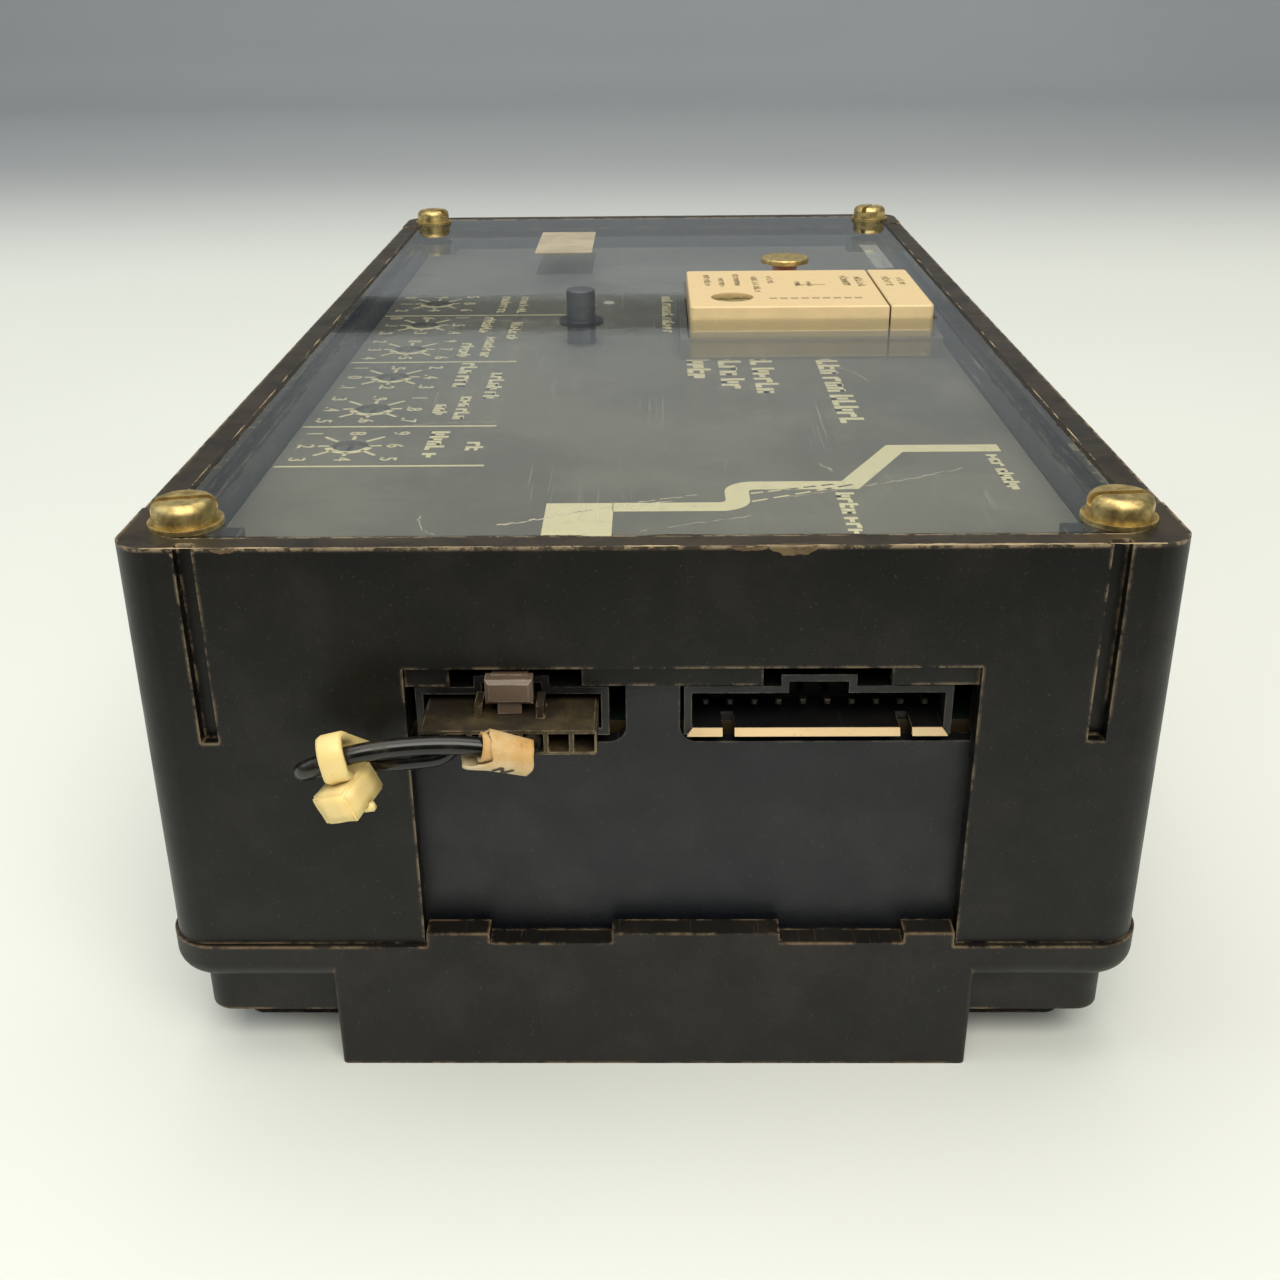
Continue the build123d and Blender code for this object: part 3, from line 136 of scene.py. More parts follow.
class Surface:
    """A Principled material under construction, with short calls for its nodes."""

    def __init__(self, name):
        self.material = bpy.data.materials.new(name)
        self.material.use_nodes = True
        self.tree = self.material.node_tree
        self.tree.nodes.clear()
        self.output = self.tree.nodes.new("ShaderNodeOutputMaterial")
        self.place = self.node("ShaderNodeTexCoord").outputs["Object"]
        self.bumps = None

    def node(self, kind, sockets=None, **settings):
        made = self.tree.nodes.new(kind)
        for key, value in settings.items():
            setattr(made, key, value)
        for key, value in (sockets or {}).items():
            if isinstance(value, bpy.types.NodeSocket):
                self.tree.links.new(value, made.inputs[key])
            else:
                made.inputs[key].default_value = value
        return made

    def stretched(self, along, turn=0.0):
        """Object coordinates squeezed along each axis, for streaks."""
        return self.node("ShaderNodeMapping", {"Vector": self.place, "Scale": along,
                                               "Rotation": (0, 0, turn)}).outputs[0]

    def noise(self, size, detail=4.0, rough=0.55, distortion=0.0, place=None):
        """Noise whose features are about size metres."""
        return self.node("ShaderNodeTexNoise", {
            "Vector": place or self.place, "Scale": 1 / size, "Detail": detail,
            "Roughness": rough, "Distortion": distortion}).outputs["Fac"]

    def window(self, value, low, high, to_low=0.0, to_high=1.0):
        """Value between low and high, spread smoothly from to_low to to_high."""
        return self.node("ShaderNodeMapRange", {
            "Value": value, "From Min": low, "From Max": high, "To Min": to_low,
            "To Max": to_high}, interpolation_type="SMOOTHSTEP").outputs[0]

    def math(self, operation, a, b=0.0):
        return self.node("ShaderNodeMath", {0: a, 1: b}, operation=operation).outputs[0]

    def mix(self, share, a, b, blend="MIX"):
        made = self.node("ShaderNodeMix", data_type="RGBA", blend_type=blend)
        for socket, value in ((made.inputs[0], share), (made.inputs[6], a), (made.inputs[7], b)):
            if isinstance(value, bpy.types.NodeSocket):
                self.tree.links.new(value, socket)
            else:
                socket.default_value = value if isinstance(value, float) else (*value[:3], 1)
        return made.outputs[2]

    def over(self, base, mask, share, colour):
        """The base with that share of a colour over it, where the mask is one."""
        return self.mix(self.math("MULTIPLY", mask, share), base, colour)

    def edges(self, radius):
        """One along convex and concave edges, fading over radius, and nought on flats."""
        soft = self.node("ShaderNodeBevel", {"Radius": radius}, samples=4).outputs[0]
        flat = self.node("ShaderNodeNewGeometry").outputs["Normal"]
        dot = self.node("ShaderNodeVectorMath", {0: soft, 1: flat}, operation="DOT_PRODUCT")
        return self.window(dot.outputs["Value"], 0.995, 0.86)

    def hollows(self, distance):
        """One deep in corners and gaps, nought in the open."""
        open_share = self.node("ShaderNodeAmbientOcclusion", {"Distance": distance},
                               samples=6, only_local=False).outputs["AO"]
        return self.window(open_share, 0.75, 0.2)

    def bump(self, height, depth, strength=1.0):
        """Adds a height field to the surface, depth metres from low to high."""
        made = self.node("ShaderNodeBump", {"Height": height, "Distance": depth,
                                            "Strength": strength})
        if self.bumps is not None:
            self.tree.links.new(self.bumps, made.inputs["Normal"])
        self.bumps = made.outputs[0]

    def finish(self, colour, roughness, **fixed):
        sockets = {"Base Color": colour, "Roughness": roughness, **fixed}
        if self.bumps is not None:
            sockets["Normal"] = self.bumps
        shader = self.node("ShaderNodeBsdfPrincipled", sockets)
        self.tree.links.new(shader.outputs[0], self.output.inputs["Surface"])
        return self.material


def shade(colour, factor):
    return tuple(c * factor for c in colour)


def moulded(name, colour, worn, dust, roughness=(0.42, 0.6), edge=0.0005, grain=0.00035,
            dusty=0.35, gloss=0.5, speck=0.0004, hair=0.5, rim=None):
    """Moulded plastic: mottled colour, fine grain, dust, fine hairs and worn brighter edges.

    rim is the height of a handled rim, which gets a rubbed top and a chipped corner."""
    s = Surface(name)
    broad = s.noise(0.03, 3)
    base = s.mix(s.window(broad, 0.35, 0.65), shade(colour, 0.8), shade(colour, 1.25))
    specks = s.window(s.noise(speck, 2, 0.7), 0.66, 0.74)
    patches = s.window(s.noise(0.009, 5, 0.65), 0.42, 0.7)
    base = s.over(base, patches, dusty * 0.14, dust)
    base = s.over(base, s.math("MULTIPLY", specks, patches), dusty, dust)
    hairs = None
    for turn, across, size in ((0.5, 1500, 0.5), (-0.8, 1800, 0.4)):
        strands = s.noise(size, 1, 0.4, 0.0, s.stretched((across, 40, across), turn))
        line = s.window(strands, 0.73, 0.75)
        hairs = line if hairs is None else s.math("MAXIMUM", hairs, line)
    base = s.over(base, hairs, dusty * hair, dust)
    rubbed = s.window(s.noise(0.0035, 5, 0.75), 0.42, 0.6)
    edge_mask = s.math("MULTIPLY", s.edges(edge), rubbed)
    base = s.mix(edge_mask, base, worn)
    if rim is not None:
        height = s.node("ShaderNodeSeparateXYZ", {0: s.place}).outputs["Z"]
        band = s.window(height, rim - 0.0005, rim - 0.0001)
        handled = s.window(s.noise(0.005, 5, 0.7), 0.3, 0.6, 0.3, 1.0)
        base = s.over(base, band, handled, shade(worn, 0.17))
        ragged = s.window(s.noise(0.0022, 5, 0.8), 0.46, 0.54)
        corner = s.window(height, rim - 0.0011, rim - 0.0005)
        chips = s.math("MULTIPLY", s.math("MULTIPLY", s.edges(0.0007), corner), ragged)
        base = s.mix(chips, base, shade(worn, 1.7))
    rough = s.window(s.noise(0.006, 5, 0.6), 0.3, 0.7, roughness[0], roughness[1])
    s.bump(s.noise(grain, 3, 0.6), 0.00002, 0.5)
    s.bump(s.noise(0.008, 2), 0.00006, 0.25)
    s.bump(edge_mask, 0.00012, 0.4)
    return s.finish(base, rough, **{"Specular IOR Level": gloss})


def metal(name, colour, stain, roughness=(0.38, 0.55), stain_share=0.6, size=0.0011):
    """Metal with tarnish in patches, dark hollows, brighter edges and a slightly uneven surface."""
    s = Surface(name)
    patches = s.window(s.noise(size, 5, 0.65, 0.4), 0.4, 0.62)
    tarnish = s.math("MULTIPLY", patches, stain_share)
    base = s.mix(tarnish, colour, stain)
    hollow = s.hollows(0.0009)
    base = s.over(base, hollow, 0.85, shade(stain, 0.3))
    base = s.mix(s.edges(0.00022), base, shade(colour, 1.15))
    rough = s.window(s.noise(size * 1.4, 4), 0.3, 0.7, roughness[0], roughness[1])
    s.bump(s.noise(0.00025, 3, 0.6), 0.00001, 0.6)
    s.bump(s.noise(0.0014, 2), 0.00004, 0.4)
    return s.finish(base, rough, Metallic=1.0)


def circuit_board(name):
    """Solder mask darkened as painted shade, over faint tracks, with the bare tan sheet along its
    cut edges.
    """
    s = Surface(name)
    # Painted shade: the mask and track colours are kept near black, for the dark gaps the board
    # shows through.
    tracks = s.node("ShaderNodeTexBrick", {
        "Vector": s.place, "Scale": 160.0, "Color1": (0.005, 0.018, 0.008, 1),
        "Color2": (0.006, 0.022, 0.010, 1), "Mortar": (0.012, 0.036, 0.018, 1),
        "Mortar Size": 0.03}, offset=0.35).outputs["Color"]
    base = s.mix(s.window(s.noise(0.012, 4), 0.4, 0.6), tracks, (0.010, 0.026, 0.014))
    normal = s.node("ShaderNodeNewGeometry").outputs["True Normal"]
    upward = s.math("ABSOLUTE", s.node("ShaderNodeSeparateXYZ", {0: normal}).outputs["Z"])
    sheet = s.mix(s.noise(0.002, 3), (0.060, 0.038, 0.012), (0.035, 0.022, 0.008))
    base = s.mix(s.window(upward, 0.3, 0.7), sheet, base)
    s.bump(s.noise(0.0008, 2), 0.00003, 0.5)
    return s.finish(base, s.window(s.noise(0.01), 0.3, 0.7, 0.3, 0.5))


def wound(name, colour, dark, axis_scale):
    """Turns of enamelled wire, or the faintly banded sleeve of a can."""
    s = Surface(name)
    turns = s.node("ShaderNodeTexWave", {
        "Vector": s.stretched(axis_scale), "Scale": 1.0, "Distortion": 0.6, "Detail": 2.0},
        bands_direction="Z").outputs["Fac"]
    base = s.mix(turns, dark, colour)
    s.bump(turns, 0.0001, 0.6)
    return s.finish(base, s.window(s.noise(0.003), 0.3, 0.7, 0.3, 0.5))


def paper(name, colour, fibre_share):
    """Aged label paper with warm blotches and darker fibres."""
    s = Surface(name)
    blotch = s.window(s.noise(0.006, 5, 0.6), 0.35, 0.7)
    base = s.mix(blotch, colour, shade(colour, 0.78))
    fibres = s.noise(0.0004, 3, 0.7, 0.0, s.stretched((1, 3, 1), 0.3))
    darker = s.math("MULTIPLY", s.window(fibres, 0.5, 0.7), fibre_share)
    base = s.mix(darker, base, shade(colour, 0.55))
    s.bump(fibres, 0.00002, 0.5)
    return s.finish(base, s.window(blotch, 0.0, 1.0, 0.62, 0.8))


def ink(name, colour, worn):
    """Screen-printed ink, thin in places, with small pinholes."""
    s = Surface(name)
    thin = s.window(s.noise(0.0022, 5, 0.7), 0.52, 0.72)
    base = s.over(colour, thin, 0.35, worn)
    pin = s.window(s.noise(0.00045, 2, 0.6), 0.7, 0.76)
    base = s.over(base, pin, 0.6, worn)
    s.bump(s.noise(0.0004, 2), 0.00001, 0.4)
    return s.finish(base, s.window(thin, 0.0, 1.0, 0.45, 0.6))


def rubber(name, colour, dust):
    """Glossy wire insulation with rubbed, dusty stretches."""
    s = Surface(name)
    rub = s.window(s.noise(0.003, 4, 0.65), 0.45, 0.7)
    base = s.over(colour, rub, 0.35, dust)
    s.bump(s.noise(0.0012, 3), 0.00003, 0.4)
    return s.finish(base, s.window(rub, 0.0, 1.0, 0.17, 0.36))


PALE_TOP, PALE_FOOT = 0.0452, 0.0434   # heights between which the marker turns pale


def curled_paper(name, aged, pale, shade_and_dirt):
    """Paper-like sleeve, orange where it aged, paler below, with painted shade in its hollows and
    dirty spots.
    """
    s = Surface(name)
    blotch = s.window(s.noise(0.0045, 5, 0.65), 0.36, 0.62)
    height = s.node("ShaderNodeSeparateXYZ", {0: s.place}).outputs["Z"]
    pale_share = s.window(height, PALE_TOP, PALE_FOOT)
    base = s.over(aged, s.math("ADD", pale_share, blotch), 0.5, pale)
    # Painted shade: the sleeve is darkened in its hollows.
    base = s.over(base, s.hollows(0.0014), 0.8, shade_and_dirt)
    grime = s.window(s.noise(0.0009, 4, 0.75), 0.56, 0.7)
    base = s.over(base, grime, 0.4, shade_and_dirt)
    s.bump(s.noise(0.0005, 3), 0.00004, 0.5)
    return s.finish(base, s.window(blotch, 0.0, 1.0, 0.6, 0.75))


def nylon(name, colour, shade_and_dirt, soft=0.12):
    """Nylon that lets a little light in, yellowed unevenly, with painted shade in its corners and
    dirt specks.
    """
    s = Surface(name)
    warm = s.window(s.noise(0.0035, 4, 0.6), 0.38, 0.66)
    base = s.mix(warm, colour, shade(colour, 0.94))
    # Painted shade: the nylon is darkened in its corners; the specks below are dirt.
    base = s.over(base, s.hollows(0.0012), 0.7, shade_and_dirt)
    specks = s.window(s.noise(0.0007, 2, 0.7), 0.68, 0.75)
    base = s.over(base, specks, 0.3, shade_and_dirt)
    s.bump(s.noise(0.0006, 3), 0.00002, 0.4)
    return s.finish(base, s.window(warm, 0.0, 1.0, 0.36, 0.52), **{
        "Subsurface Weight": soft, "Subsurface Radius": (0.0012, 0.0008, 0.0004),
        "Subsurface Scale": 1.0})


def thin_film(name, colour, share):
    """See-through matt layer: scratched plastic or old tape."""
    s = Surface(name)
    patchy = s.window(s.noise(0.0014, 4, 0.7), 0.3, 0.7, share * 0.6, min(share * 1.4, 1.0))
    through = s.node("ShaderNodeBsdfTransparent").outputs[0]
    tone = s.mix(s.noise(0.004, 3), colour, shade(colour, 0.8))
    matt = s.node("ShaderNodeBsdfDiffuse", {"Color": tone, "Roughness": 0.5}).outputs[0]
    whole = s.node("ShaderNodeMixShader", {0: patchy, 1: through, 2: matt}).outputs[0]
    s.tree.links.new(whole, s.output.inputs["Surface"])
    return s.material


def clear_plastic(name, tint, scratch_colour):
    """Thin clear sheet that mirrors more at low angles, with fine scratches and smudges."""
    s = Surface(name)
    smudge = s.window(s.noise(0.02, 5, 0.6, 0.8), 0.5, 0.75)
    scratches = None
    for turn, stretch, size in ((0.35, (330, 5, 1), 0.09), (-0.9, (420, 4, 1), 0.12),
                                (1.35, (360, 6, 1), 0.1)):
        lines = s.noise(size, 1.0, 0.4, 0.0, s.stretched(stretch, turn))
        mask = s.window(lines, 0.725, 0.74)
        scratches = mask if scratches is None else s.math("MAXIMUM", scratches, mask)
    broken = s.window(s.noise(0.012, 3), 0.5, 0.6)
    scratches = s.math("MULTIPLY", scratches, broken)
    s.bump(s.noise(0.05, 2), 0.0002, 0.12)
    s.bump(s.noise(0.0015, 2), 0.000008, 0.2)
    through = s.node("ShaderNodeBsdfTransparent", {"Color": (*tint, 1)}).outputs[0]
    mirror = s.node("ShaderNodeBsdfGlossy", {
        "Color": (0.95, 0.97, 1.0, 1), "Roughness": s.window(smudge, 0.0, 1.0, 0.02, 0.11),
        "Normal": s.bumps}).outputs[0]
    milky = s.node("ShaderNodeBsdfDiffuse", {"Color": (*scratch_colour, 1)}).outputs[0]
    facing = s.node("ShaderNodeLayerWeight", {"Blend": 0.5, "Normal": s.bumps}).outputs["Facing"]
    grazing = s.math("POWER", facing, 5.0)
    gloss_share = s.math("ADD", s.math("MULTIPLY", grazing, 0.96), 0.04)
    film = s.math("ADD", s.math("MULTIPLY", scratches, 0.13), s.math("MULTIPLY", smudge, 0.02))
    film = s.math("ADD", film, 0.006)
    sheet = s.node("ShaderNodeMixShader", {0: film, 1: through, 2: milky}).outputs[0]
    whole = s.node("ShaderNodeMixShader", {0: gloss_share, 1: sheet, 2: mirror}).outputs[0]
    s.tree.links.new(whole, s.output.inputs["Surface"])
    return s.material


DUST = (0.17, 0.145, 0.11)
WARM_EDGE = (0.24, 0.18, 0.11)
BRASS, BRASS_STAIN = (0.76, 0.59, 0.26), (0.30, 0.22, 0.075)
CREAM = (0.80, 0.61, 0.33)

MATERIALS = {
    "housing": moulded("housing", (0.0036, 0.0032, 0.0025), WARM_EDGE, DUST, (0.34, 0.46),
                       edge=0.0006, dusty=0.26, gloss=0.33, speck=0.00022, rim=CASE_HIGH.z),
    "base": moulded("base", (0.0050, 0.0040, 0.0026), (0.24, 0.165, 0.09), DUST, (0.4, 0.55),
                    edge=0.0006, dusty=0.3, gloss=0.38, speck=0.00022),
    "panel": moulded("panel", (0.0038, 0.0050, 0.0078), (0.12, 0.10, 0.08), DUST, (0.36, 0.5),
                     edge=0.0004, dusty=0.25, speck=0.00022),
    "faceplate": moulded("faceplate", (0.168, 0.150, 0.113), (0.3, 0.28, 0.22), (0.22, 0.20, 0.16),
                         (0.5, 0.66), dusty=0.12),
    "header": moulded("header", (0.006, 0.006, 0.0065), (0.16, 0.13, 0.10), DUST, (0.32, 0.5),
                      edge=0.00022, dusty=0.15),
    # Painted highlight: the lip of the black header gets a pale tan colour for its lit face, with
    # some dust.
    "lip": moulded("lip", (0.62, 0.45, 0.23), (0.8, 0.62, 0.36), (0.2, 0.14, 0.07), (0.4, 0.6),
                   edge=0.0002, dusty=0.6),
    "plug": moulded("plug", (0.016, 0.0105, 0.004), (0.34, 0.25, 0.13), (0.42, 0.30, 0.12),
                    (0.5, 0.75), edge=0.00025, dusty=1.0, speck=0.00022, hair=0.0),
    "latch": moulded("latch", (0.115, 0.080, 0.055), (0.36, 0.29, 0.22), DUST, (0.32, 0.5),
                     edge=0.0003, dusty=0.25),
    "dial": moulded("dial", (0.105, 0.10, 0.085), (0.5, 0.46, 0.34), DUST, (0.4, 0.55),
                    edge=0.0003),
    "black": moulded("black", (0.012, 0.012, 0.013), (0.1, 0.09, 0.08), DUST, (0.25, 0.42),
                     edge=0.0002, dusty=0.2),
    "grey": moulded("grey", (0.070, 0.077, 0.088), (0.16, 0.16, 0.16), DUST, (0.35, 0.5),
                    edge=0.0002),
    # The stem's own red, raised towards pink as painted light to make up for the shade it sits in.
    "red": moulded("red", (0.80, 0.36, 0.30), (0.8, 0.4, 0.34), DUST, (0.3, 0.45), edge=0.0002,
                   dusty=0.2),
    "chip": moulded("chip", (0.018, 0.018, 0.02), (0.08, 0.08, 0.08), DUST, (0.45, 0.6)),
    "core": moulded("core", (0.05, 0.05, 0.055), (0.2, 0.19, 0.18), DUST, (0.4, 0.6)),
    "ferrite": moulded("ferrite", (0.08, 0.09, 0.075), (0.2, 0.2, 0.18), DUST, (0.4, 0.6)),
    # The darkest colour given to cream, nylon, marker and lens is painted shade in their hollows
    # and also the colour of their dirt.
    "cream": nylon("cream", CREAM, (0.30, 0.22, 0.10), 0.06),
    "nylon": nylon("nylon", (0.90, 0.69, 0.29), (0.36, 0.24, 0.09), 0.25),
    "marker": curled_paper("marker", (0.54, 0.31, 0.09), (0.70, 0.58, 0.37), (0.16, 0.09, 0.03)),
    "brass": metal("brass", BRASS, BRASS_STAIN),
    "steel": metal("steel", (0.62, 0.61, 0.58), (0.22, 0.2, 0.17), (0.2, 0.4), 0.5),
    "alloy": metal("alloy", (0.66, 0.67, 0.68), (0.3, 0.3, 0.3), (0.3, 0.5), 0.4, 0.004),
    "board": circuit_board("board"),
    "wire": rubber("wire", (0.006, 0.0058, 0.0055), (0.06, 0.045, 0.028)),
    "winding": wound("winding", (0.62, 0.36, 0.10), (0.35, 0.18, 0.05), (1, 1, 900)),
    "can": wound("can", (0.03, 0.06, 0.2), (0.025, 0.05, 0.17), (1, 1, 60)),
    "label": paper("label", (0.47, 0.41, 0.30), 0.4),
    # Painted shade: the header pins get a near-black metal for the shaded header mouth.
    "pins": metal("pins", (0.10, 0.09, 0.08), (0.02, 0.02, 0.015), (0.5, 0.7)),
    "smudge": ink("smudge", (0.11, 0.09, 0.07), (0.28, 0.2, 0.12)),
    "lens": nylon("lens", (0.8, 0.76, 0.66), (0.4, 0.36, 0.28), 0.3),
    "bare": moulded("bare", (0.50, 0.38, 0.22), (0.7, 0.56, 0.36), (0.12, 0.08, 0.05), (0.5, 0.7),
                    edge=0.0002, dusty=0.9, hair=0.0),
    "scar": moulded("scar", (0.17, 0.10, 0.05), (0.30, 0.22, 0.11), (0.34, 0.27, 0.13), (0.5, 0.7),
                    edge=0.0004, dusty=1.0, hair=0.0),
    "grime": moulded("grime", (0.012, 0.008, 0.004), (0.05, 0.035, 0.018), (0.11, 0.075, 0.03),
                     (0.6, 0.8), edge=0.0002, dusty=0.9, hair=0.0),
    "milky": thin_film("milky", (0.62, 0.58, 0.46), 0.55),
    "film": thin_film("film", (0.62, 0.64, 0.62), 0.22),
    "cover": clear_plastic("cover", (0.93, 0.95, 0.95), (0.62, 0.62, 0.58)),
}
PRINT = ink("print", (1.0, 0.86, 0.52), (0.5, 0.43, 0.28))
PLUG_PRINT = ink("plug_print", (0.36, 0.27, 0.14), (0.62, 0.47, 0.25))


def dress_nodes():
    """Gives each CAD node the material of its slot, apart from a few named pieces."""
    slot_of = {p["node"]: p["material_slot"] for p in frame["record"]["subparts"]}
    for name, piece in frame["nodes"].items():
        piece.data.materials.clear()
        # The header pins take the darkened metal, painted shade for the header mouth.
        look = "pins" if name.endswith("header_pins") else slot_of[name]
        look = {"test_button": "grey", "rating_plug_socket": "faceplate"}.get(name, look)
        piece.data.materials.append(MATERIALS[look])


dress_nodes()

# ---------------------------------------------------------------- mesh helpers


def mesh_piece(name, bm, material, body, smooth=False):
    """Turns the bmesh into a piece that rides on the body."""
    bmesh.ops.recalc_face_normals(bm, faces=bm.faces)
    data = bpy.data.meshes.new(name)
    bm.to_mesh(data)
    bm.free()
    data.materials.append(material)
    if smooth:
        data.shade_smooth()
    made = link(name, data)
    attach(made, body)
    return made


def join_rings(bm, a, b):
    """A band of faces between two closed rings of vertices."""
    for n in range(len(a)):
        m = (n + 1) % len(a)
        bm.faces.new((a[n], a[m], b[m], b[n]))


def prism(bm, outline, z0, z1):
    """Solid between two heights over a flat outline."""
    low = [bm.verts.new((x, y, z0)) for x, y in outline]
    high = [bm.verts.new((x, y, z1)) for x, y in outline]
    bm.faces.new(low[::-1])
    bm.faces.new(high)
    join_rings(bm, low, high)


class Artwork:
    """Flat printed shapes in millimetres on one plane, gathered in one mesh."""

    def __init__(self, z, thick=0.03):
        self.bm = bmesh.new()
        self.z0, self.z1 = z, z + thick * MM

    def shape(self, outline):
        prism(self.bm, [(x * MM, y * MM) for x, y in outline], self.z0, self.z1)

    def strip(self, path, width):
        """A band of that width along a flat path."""
        sides = []
        ways = [(b - a).normalized() for a, b in zip(path, path[1:])]
        for n, here in enumerate(path):
            way_in, way_out = ways[max(n - 1, 0)], ways[min(n, len(ways) - 1)]
            ahead = (way_in + way_out).normalized()
            across = Vector((-ahead.y, ahead.x)) * width / 2 / ahead.dot(way_in)
            sides.append((here + across, here - across))
        for (a, b), (c, d) in zip(sides, sides[1:]):
            self.shape([a, c, d, b])

    def bar(self, x0, x1, y0, y1):
        self.shape([(x0, y0), (x1, y0), (x1, y1), (x0, y1)])

    def line(self, start, end, width):
        a, b = Vector(start), Vector(end)
        across = (b - a).normalized().orthogonal() * width / 2
        self.shape([a - across, b - across, b + across, a + across])

    def arc(self, centre, radius, width, start, stop, steps=18):
        """Part of a ring, its ends at start and stop degrees."""
        turns = [math.radians(start + (stop - start) * n / steps) for n in range(steps + 1)]
        inner, outer = radius - width / 2, radius + width / 2
        ring = [(centre[0] + outer * math.cos(t), centre[1] + outer * math.sin(t)) for t in turns]
        ring += [(centre[0] + inner * math.cos(t), centre[1] + inner * math.sin(t))
                 for t in reversed(turns)]
        self.shape(ring)

    def glyph(self, x, y, height, kind):
        """One plain made-up letter: its foot at x, its top towards +X, its left side at y."""
        stroke, wide = 0.3 * height, 0.72 * height
        self.bar(x, x + height * (1.0 if kind % 3 == 0 else 0.72), y - stroke, y)
        if kind % 2:
            self.bar(x, x + height * 0.72, y - wide, y - wide + stroke)
        level = x + height * (0.0, 0.26, 0.52)[kind % 3]
        self.bar(level, level + 0.85 * stroke, y - wide, y - stroke)
        if kind % 5 == 0:
            self.bar(x + 0.52 * height, x + 0.72 * height, y - wide, y - stroke)
        return wide + 0.12 * height

    def words(self, x0, x1, y_from, y_to, rng):
        """A row of plain made-up letters, reading towards -Y, as tall as x0 to x1."""
        height, y, left = x1 - x0, y_to, rng.randint(3, 7)
        while y - 0.6 * height > y_from:
            if left == 0:
                y -= 0.4 * height
                left = rng.randint(3, 7)
                continue
            y -= self.glyph(x0, y, height, rng.randint(0, 29))
            left -= 1

    def figures(self, text, centre, height):
        """Numerals with their tops towards +X."""
        data = bpy.data.curves.new("figures", "FONT")
        data.body, data.size = text, height * MM
        data.align_x, data.align_y = "CENTER", "CENTER"
        data.offset = 0.018 * height * MM
        carrier = bpy.data.objects.new("figures", data)
        mesh = bpy.data.meshes.new_from_object(carrier)
        flat = bmesh.new()
        flat.from_mesh(mesh)
        place = Matrix.Translation((centre[0] * MM, centre[1] * MM, self.z1))
        place = place @ Matrix.Rotation(-math.pi / 2, 4, "Z")
        bmesh.ops.transform(flat, matrix=place, verts=flat.verts)
        solid = bmesh.ops.extrude_face_region(flat, geom=flat.faces[:])
        down = [v for v in solid["geom"] if isinstance(v, bmesh.types.BMVert)]
        bmesh.ops.translate(flat, vec=(0, 0, self.z0 - self.z1), verts=down)
        part = bpy.data.meshes.new("figures")
        flat.to_mesh(part)
        flat.free()
        self.bm.from_mesh(part)
        bpy.data.meshes.remove(part)
        bpy.data.meshes.remove(mesh)
        bpy.data.objects.remove(carrier)

    def done(self, name, material, body):
        mesh_piece(name, self.bm, material, body)


def rounded_path(points, radii, steps=6):
    """A flat path with each inner corner replaced by an arc of its radius, or kept at nought."""
    out = [Vector(points[0])]
    for before, here, after, radius in zip(points, points[1:], points[2:], radii):
        before, here, after = Vector(before), Vector(here), Vector(after)
        if radius == 0:
            out.append(here)
            continue
        way_in, way_out = (here - before).normalized(), (after - here).normalized()
        turn = way_in.angle_signed(way_out)
        reach = radius * math.tan(abs(turn) / 2)
        start = here - way_in * reach
        side = Vector((-way_in.y, way_in.x)) * (-1 if turn > 0 else 1)
        centre = start + side * radius
        spoke = start - centre
        for n in range(steps + 1):
            angle = -turn * n / steps
            out.append(centre + Vector((spoke.x * math.cos(angle) - spoke.y * math.sin(angle),
                                        spoke.x * math.sin(angle) + spoke.y * math.cos(angle))))
    out.append(Vector(points[-1]))
    return out


# ---------------------------------------------------------------- faceplate artwork

# Places on the faceplate, in millimetres.
DIAL_PITCH = 17.2
DIAL_FIRST_Y = -47.5
DIAL_X = -39.4
PLATE_LEFT = FACE_LOW.x / MM + 0.3


def dial_print(art, x, y, values):
    """Eight figures set in a square, a spoke towards each and an arc below the hub."""
    spots = ((-1, -1), (0, -1), (1, -1), (-1, 0), (1, 0), (-1, 1), (0, 1), (1, 1))
    for (sx, sy), value in zip(spots, values):
        art.figures(value, (x + 5.85 * sx, y + 5.5 * sy), 3.1)
        way = Vector((sx, sy)).normalized()
        reach = 5.6 if sx and sy else 4.2
        art.line(Vector((x, y)) + way * 2.7, Vector((x, y)) + way * reach, 0.5)
    art.arc((x, y), 2.75, 1.0, -165, -15)


def curve_print(art):
    """Stepped time-current curve with a square end and two dashed lines beside its bend."""
    width = 2.85
    path = rounded_path(
        ((44.7, -50.0), (31.3, -50.0), (23.9, -64.1), (10.2, -64.1), (10.2, -71.4), (-4.4, -71.4)),
        (0, 0, 2.2, 2.2))
    art.strip(path, width)
    art.bar(-12.1, -4.3, RIM_Y / MM + 13.0, -70.0)
    for start, end in (((11.8, -66.9), (22.6, -63.6)), ((11.8, -69.7), (25.0, -63.6))):
        a, b = Vector(start), Vector(end)
        dashes = 5
        for n in range(dashes):
            art.line(a.lerp(b, n / dashes), a.lerp(b, (n + 0.7) / dashes), 0.34)


